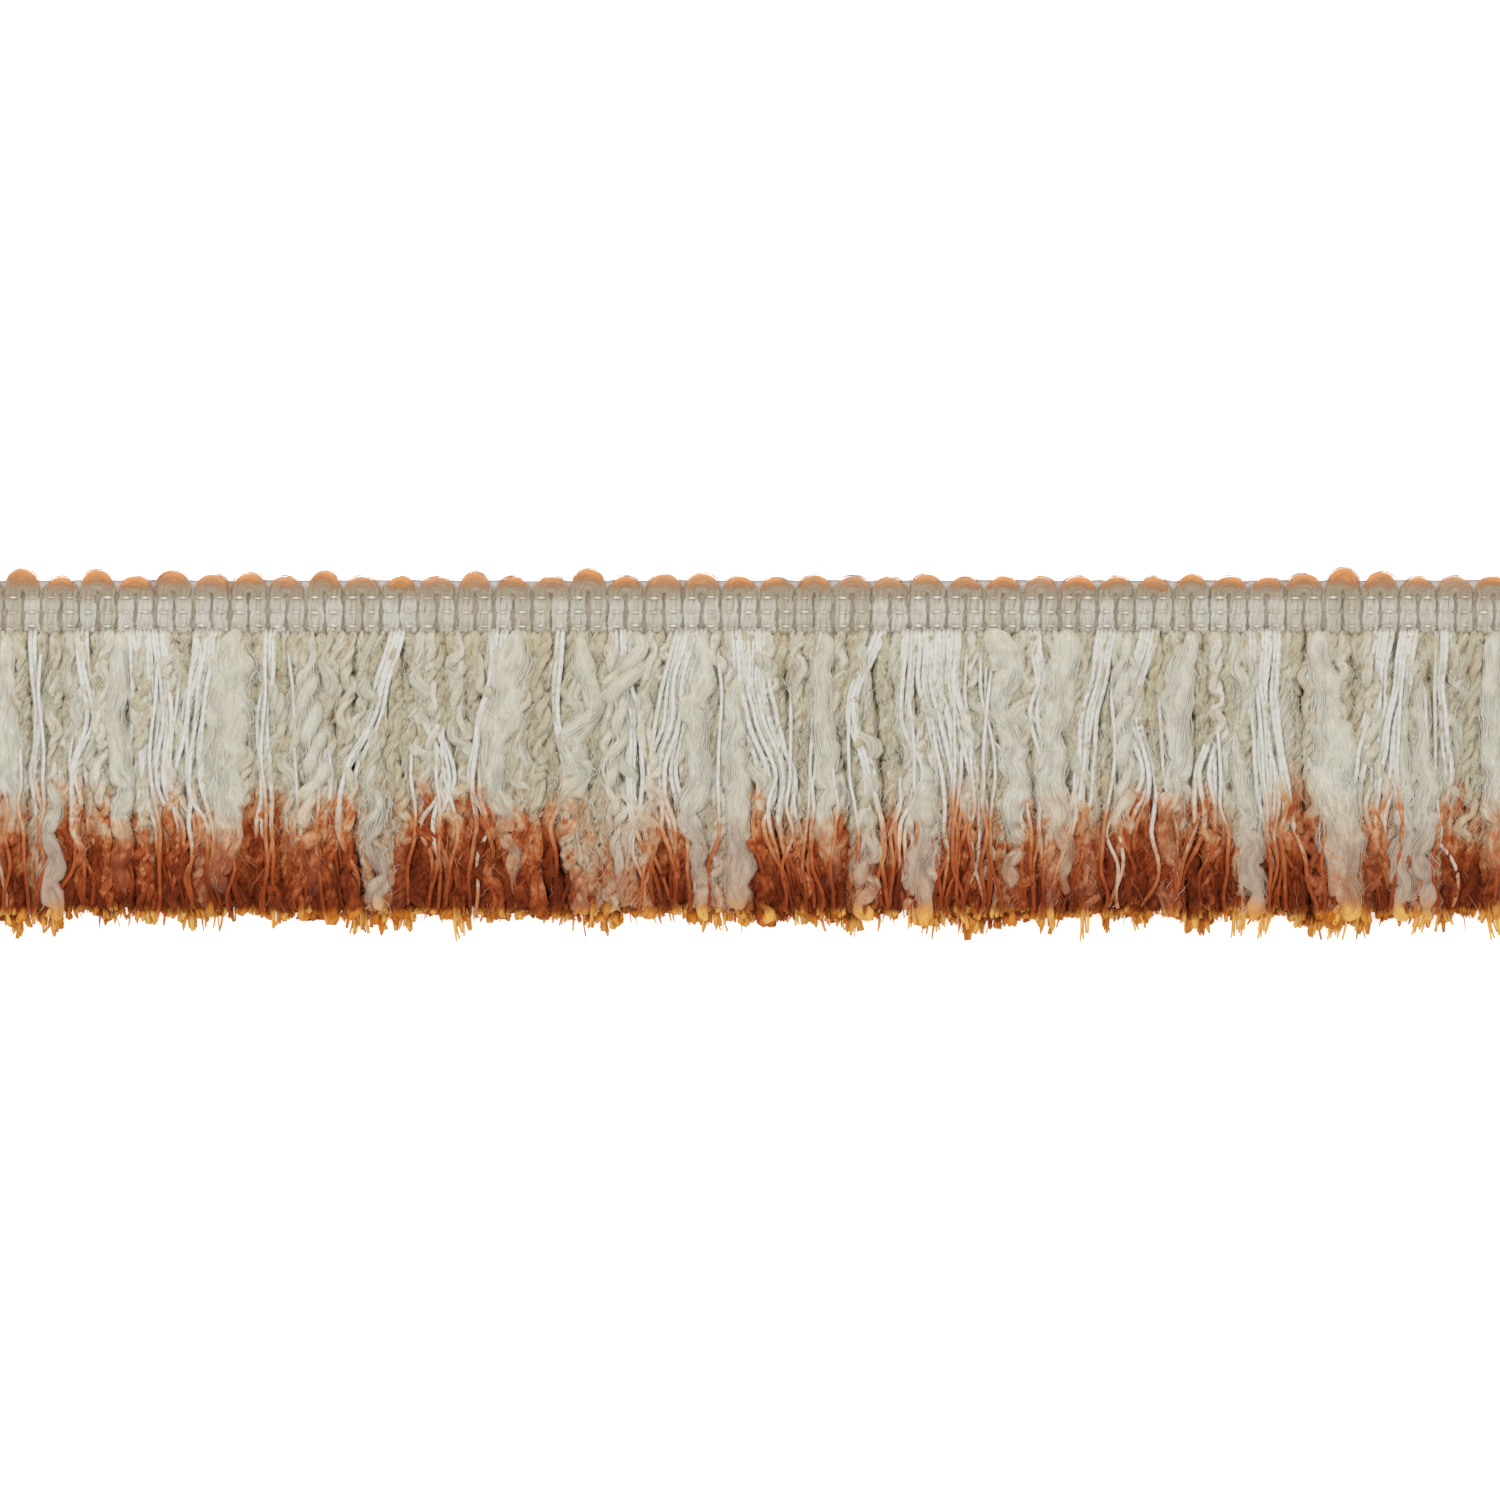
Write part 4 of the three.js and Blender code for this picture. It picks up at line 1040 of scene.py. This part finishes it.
def heading_tape():
    """The flat woven band under the ribs, a closed thin slab with a slightly uneven top edge."""
    columns, rows = 420, 10
    xs = np.linspace(LEFT, -LEFT, columns + 1)
    ys = np.linspace(-HEADING_HALF, HEADING_HALF, rows + 1)
    gx, gy = np.meshgrid(xs, ys, indexing="ij")
    edge = np.maximum(smooth(2.6, 4.6, gy), smooth(-4.2, -HEADING_HALF, gy))
    gy = gy + smooth(3.5, HEADING_HALF, gy) * (0.35 * (noise1(gx / 2.2, 270) - 0.6))
    top = joined(gx, gy, 1.62 - 0.62 * edge + 0.06 * np.sin(gx * 6.0) * edge)
    low = joined(gx, gy, 0.0)
    grid = np.arange((columns + 1) * (rows + 1)).reshape(columns + 1, rows + 1)
    shift = grid.size
    a, b, c, d = grid[:-1, :-1], grid[1:, :-1], grid[1:, 1:], grid[:-1, 1:]
    upper = joined(a, b, c, d).reshape(-1, 4)
    under = joined(a, d, c, b).reshape(-1, 4) + shift
    walls = []
    for p, q in ((grid[1:, 0], grid[:-1, 0]), (grid[:-1, -1], grid[1:, -1]), (grid[0, :-1], grid[0, 1:]),
                 (grid[-1, 1:], grid[-1, :-1])):
        walls.append(joined(q, p, p + shift, q + shift))
    quads = np.concatenate([upper, under, *walls])
    verts = np.concatenate([top.reshape(-1, 3), low.reshape(-1, 3)]) * MM
    # Top and underside each take half of the atlas; the walls share the strip between them.
    u = (gx - LEFT) / LENGTH * 0.98 + 0.01
    v = (gy + 5.4) / 11.0 * 0.44 + 0.02
    flat = joined(u, v).reshape(-1, 2)
    spots = np.concatenate([flat, flat + (0, 0.5)])
    uvs = spots[quads.ravel()]
    wall_corners = 4 * sum(len(w) for w in walls)
    uvs[-wall_corners:] = 0.47 + 0.02 * (uvs[-wall_corners:] - 0.5)
    none = np.zeros((0, 3), dtype=int)
    return new_mesh("heading_tape", verts, quads, none, uvs, {}, {}, tape_material())


# The scene

def build():
    tape = heading_tape()
    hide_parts("heading")
    lock_look = yarn_material("lock_yarn", (222, 213, 188), (226, 218, 198), 1.3, 0.8, 0.26, 0.1,
                              curls=1.0)
    boucle_look = yarn_material("boucle_yarn", (210, 200, 176), (230, 225, 213), 1.5, 0.6, 0.20, 0.3,
                                curls=0.6)
    slub_look = yarn_material("slub_yarn", (214, 209, 193), (222, 218, 206), 1.8, 0.5, 0.20, 0.3,
                              curls=0.35)
    cord_look = yarn_material("cord_yarn", (220, 216, 207), (228, 226, 221), 2.2, 0.3, 0.16, 0.2,
                              plies=True)
    # The heading's yarn: its darker colour low between the ribs and its darker tint towards the top are
    # painted shade.
    rib_look = yarn_material("heading_yarn", (214, 206, 189), (231, 227, 218), 1.6, 0.7, 0.26, 0.2,
                             curls=0.3, shade_colour=(188, 172, 148), above=1.7, tint_and_shade_colour=(184, 166, 142))
    bind_look = yarn_material("binding_yarn", (234, 231, 224), (240, 238, 233), 3.0, 0.3, 0.10, 0.2)
    end_look = yarn_material("end_yarn", (222, 200, 160), (226, 210, 180), 1.6, 0.5, 0.18, 0.1)
    fuzz_look = yarn_material("fuzz_yarn", (226, 222, 208), (234, 231, 221), 2.0, 0.1, 0.10, 0.3)
    body, hairs = slubs()
    ribs = heading_ribs().mesh("heading_ribs", rib_look, "heading")
    threads = binding_threads().mesh("binding_threads", bind_look, "binding")
    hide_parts("binding_1", "binding_2", "binding_3")
    loops = edge_loops().mesh("edge_loops", loop_material(), "loop_yarn")
    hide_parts(*[f"edge_loop_{k:02d}" for k in range(1, LOOP_COUNT + 1)])
    locks = back_locks().mesh("skirt_locks", lock_look, "lock_yarn")
    ends = cut_ends().mesh("cut_ends", end_look, "lock_yarn")
    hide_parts("fringe_back")
    curls = boucle(FINE_BOUCLE).mesh("fine_boucle", boucle_look, "slub_yarn")
    stout = boucle(STOUT_BOUCLE).mesh("stout_boucle", boucle_look, "slub_yarn")
    roving = boucle(ROVING).mesh("rovings", slub_look, "slub_yarn")
    fat = body.mesh("slubs", slub_look, "slub_yarn")
    fibres = hairs.mesh("slub_fibres", fuzz_look, "slub_yarn")
    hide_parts("fringe_middle")
    fine = cords().mesh("cords", cord_look, "cord_yarn")
    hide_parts("fringe_front")
    haze = fuzz(count=2200, salt=300, low=-4.6, high=-50.0, z_low=4.0, z_high=5.1,
                length_low=2.5, length_high=8.0, curl=0.5).mesh("fuzz", fuzz_look, "slub_yarn")
    low_haze = fuzz(count=2400, salt=320, low=-38.0, high=-61.0, z_low=3.4, z_high=5.4,
                    length_low=2.0, length_high=6.5, curl=0.7).mesh("low_fuzz", fuzz_look, "slub_yarn")


def placed(name, data, location):
    """A new object of the scene at this place."""
    made = bpy.data.objects.new(name, data)
    made.location = location
    bpy.context.scene.collection.objects.link(made)
    return made


def studio():
    scene = bpy.context.scene
    half = 0.9
    data = bpy.data.meshes.new("floor")
    corners = [(-half, -half, 0), (half, -half, 0), (half, half, 0), (-half, half, 0)]
    data.from_pydata(corners, [], [(0, 1, 2, 3)])
    data.materials.append(floor_material())
    floor = placed("floor", data, (0, 0, -0.00005))

    world = bpy.data.worlds.new("studio")
    world.use_nodes = True
    world.node_tree.nodes["Background"].inputs["Color"].default_value = (1.0, 1.0, 1.0, 1)
    world.node_tree.nodes["Background"].inputs["Strength"].default_value = 0.83
    scene.world = world

    key = bpy.data.lights.new("key", "AREA")
    key.shape = "RECTANGLE"
    key.size, key.size_y = 0.9, 0.5
    key.energy = 3.05
    lamp = placed("key", key, (-0.25, 0.55, 1.0))
    aim = np.array([0.0, -0.03, 0.0]) - np.array(lamp.location)
    turn = math.atan2(aim[0], -aim[1]) + math.pi
    lamp.rotation_euler = (math.atan2(math.hypot(aim[0], aim[1]), -aim[2]), 0, turn)

    view = bpy.data.cameras.new("camera")
    view.sensor_width = 36
    view.lens = 180
    width = 0.300
    distance = width * view.lens / view.sensor_width
    view.clip_end = 10
    # It looks straight down on the middle of the photo.
    scene.camera = placed("camera", view, (-1.6 * MM, -28.8 * MM, distance + 0.004))
    scene.view_settings.view_transform = "Standard"


studio()
build()
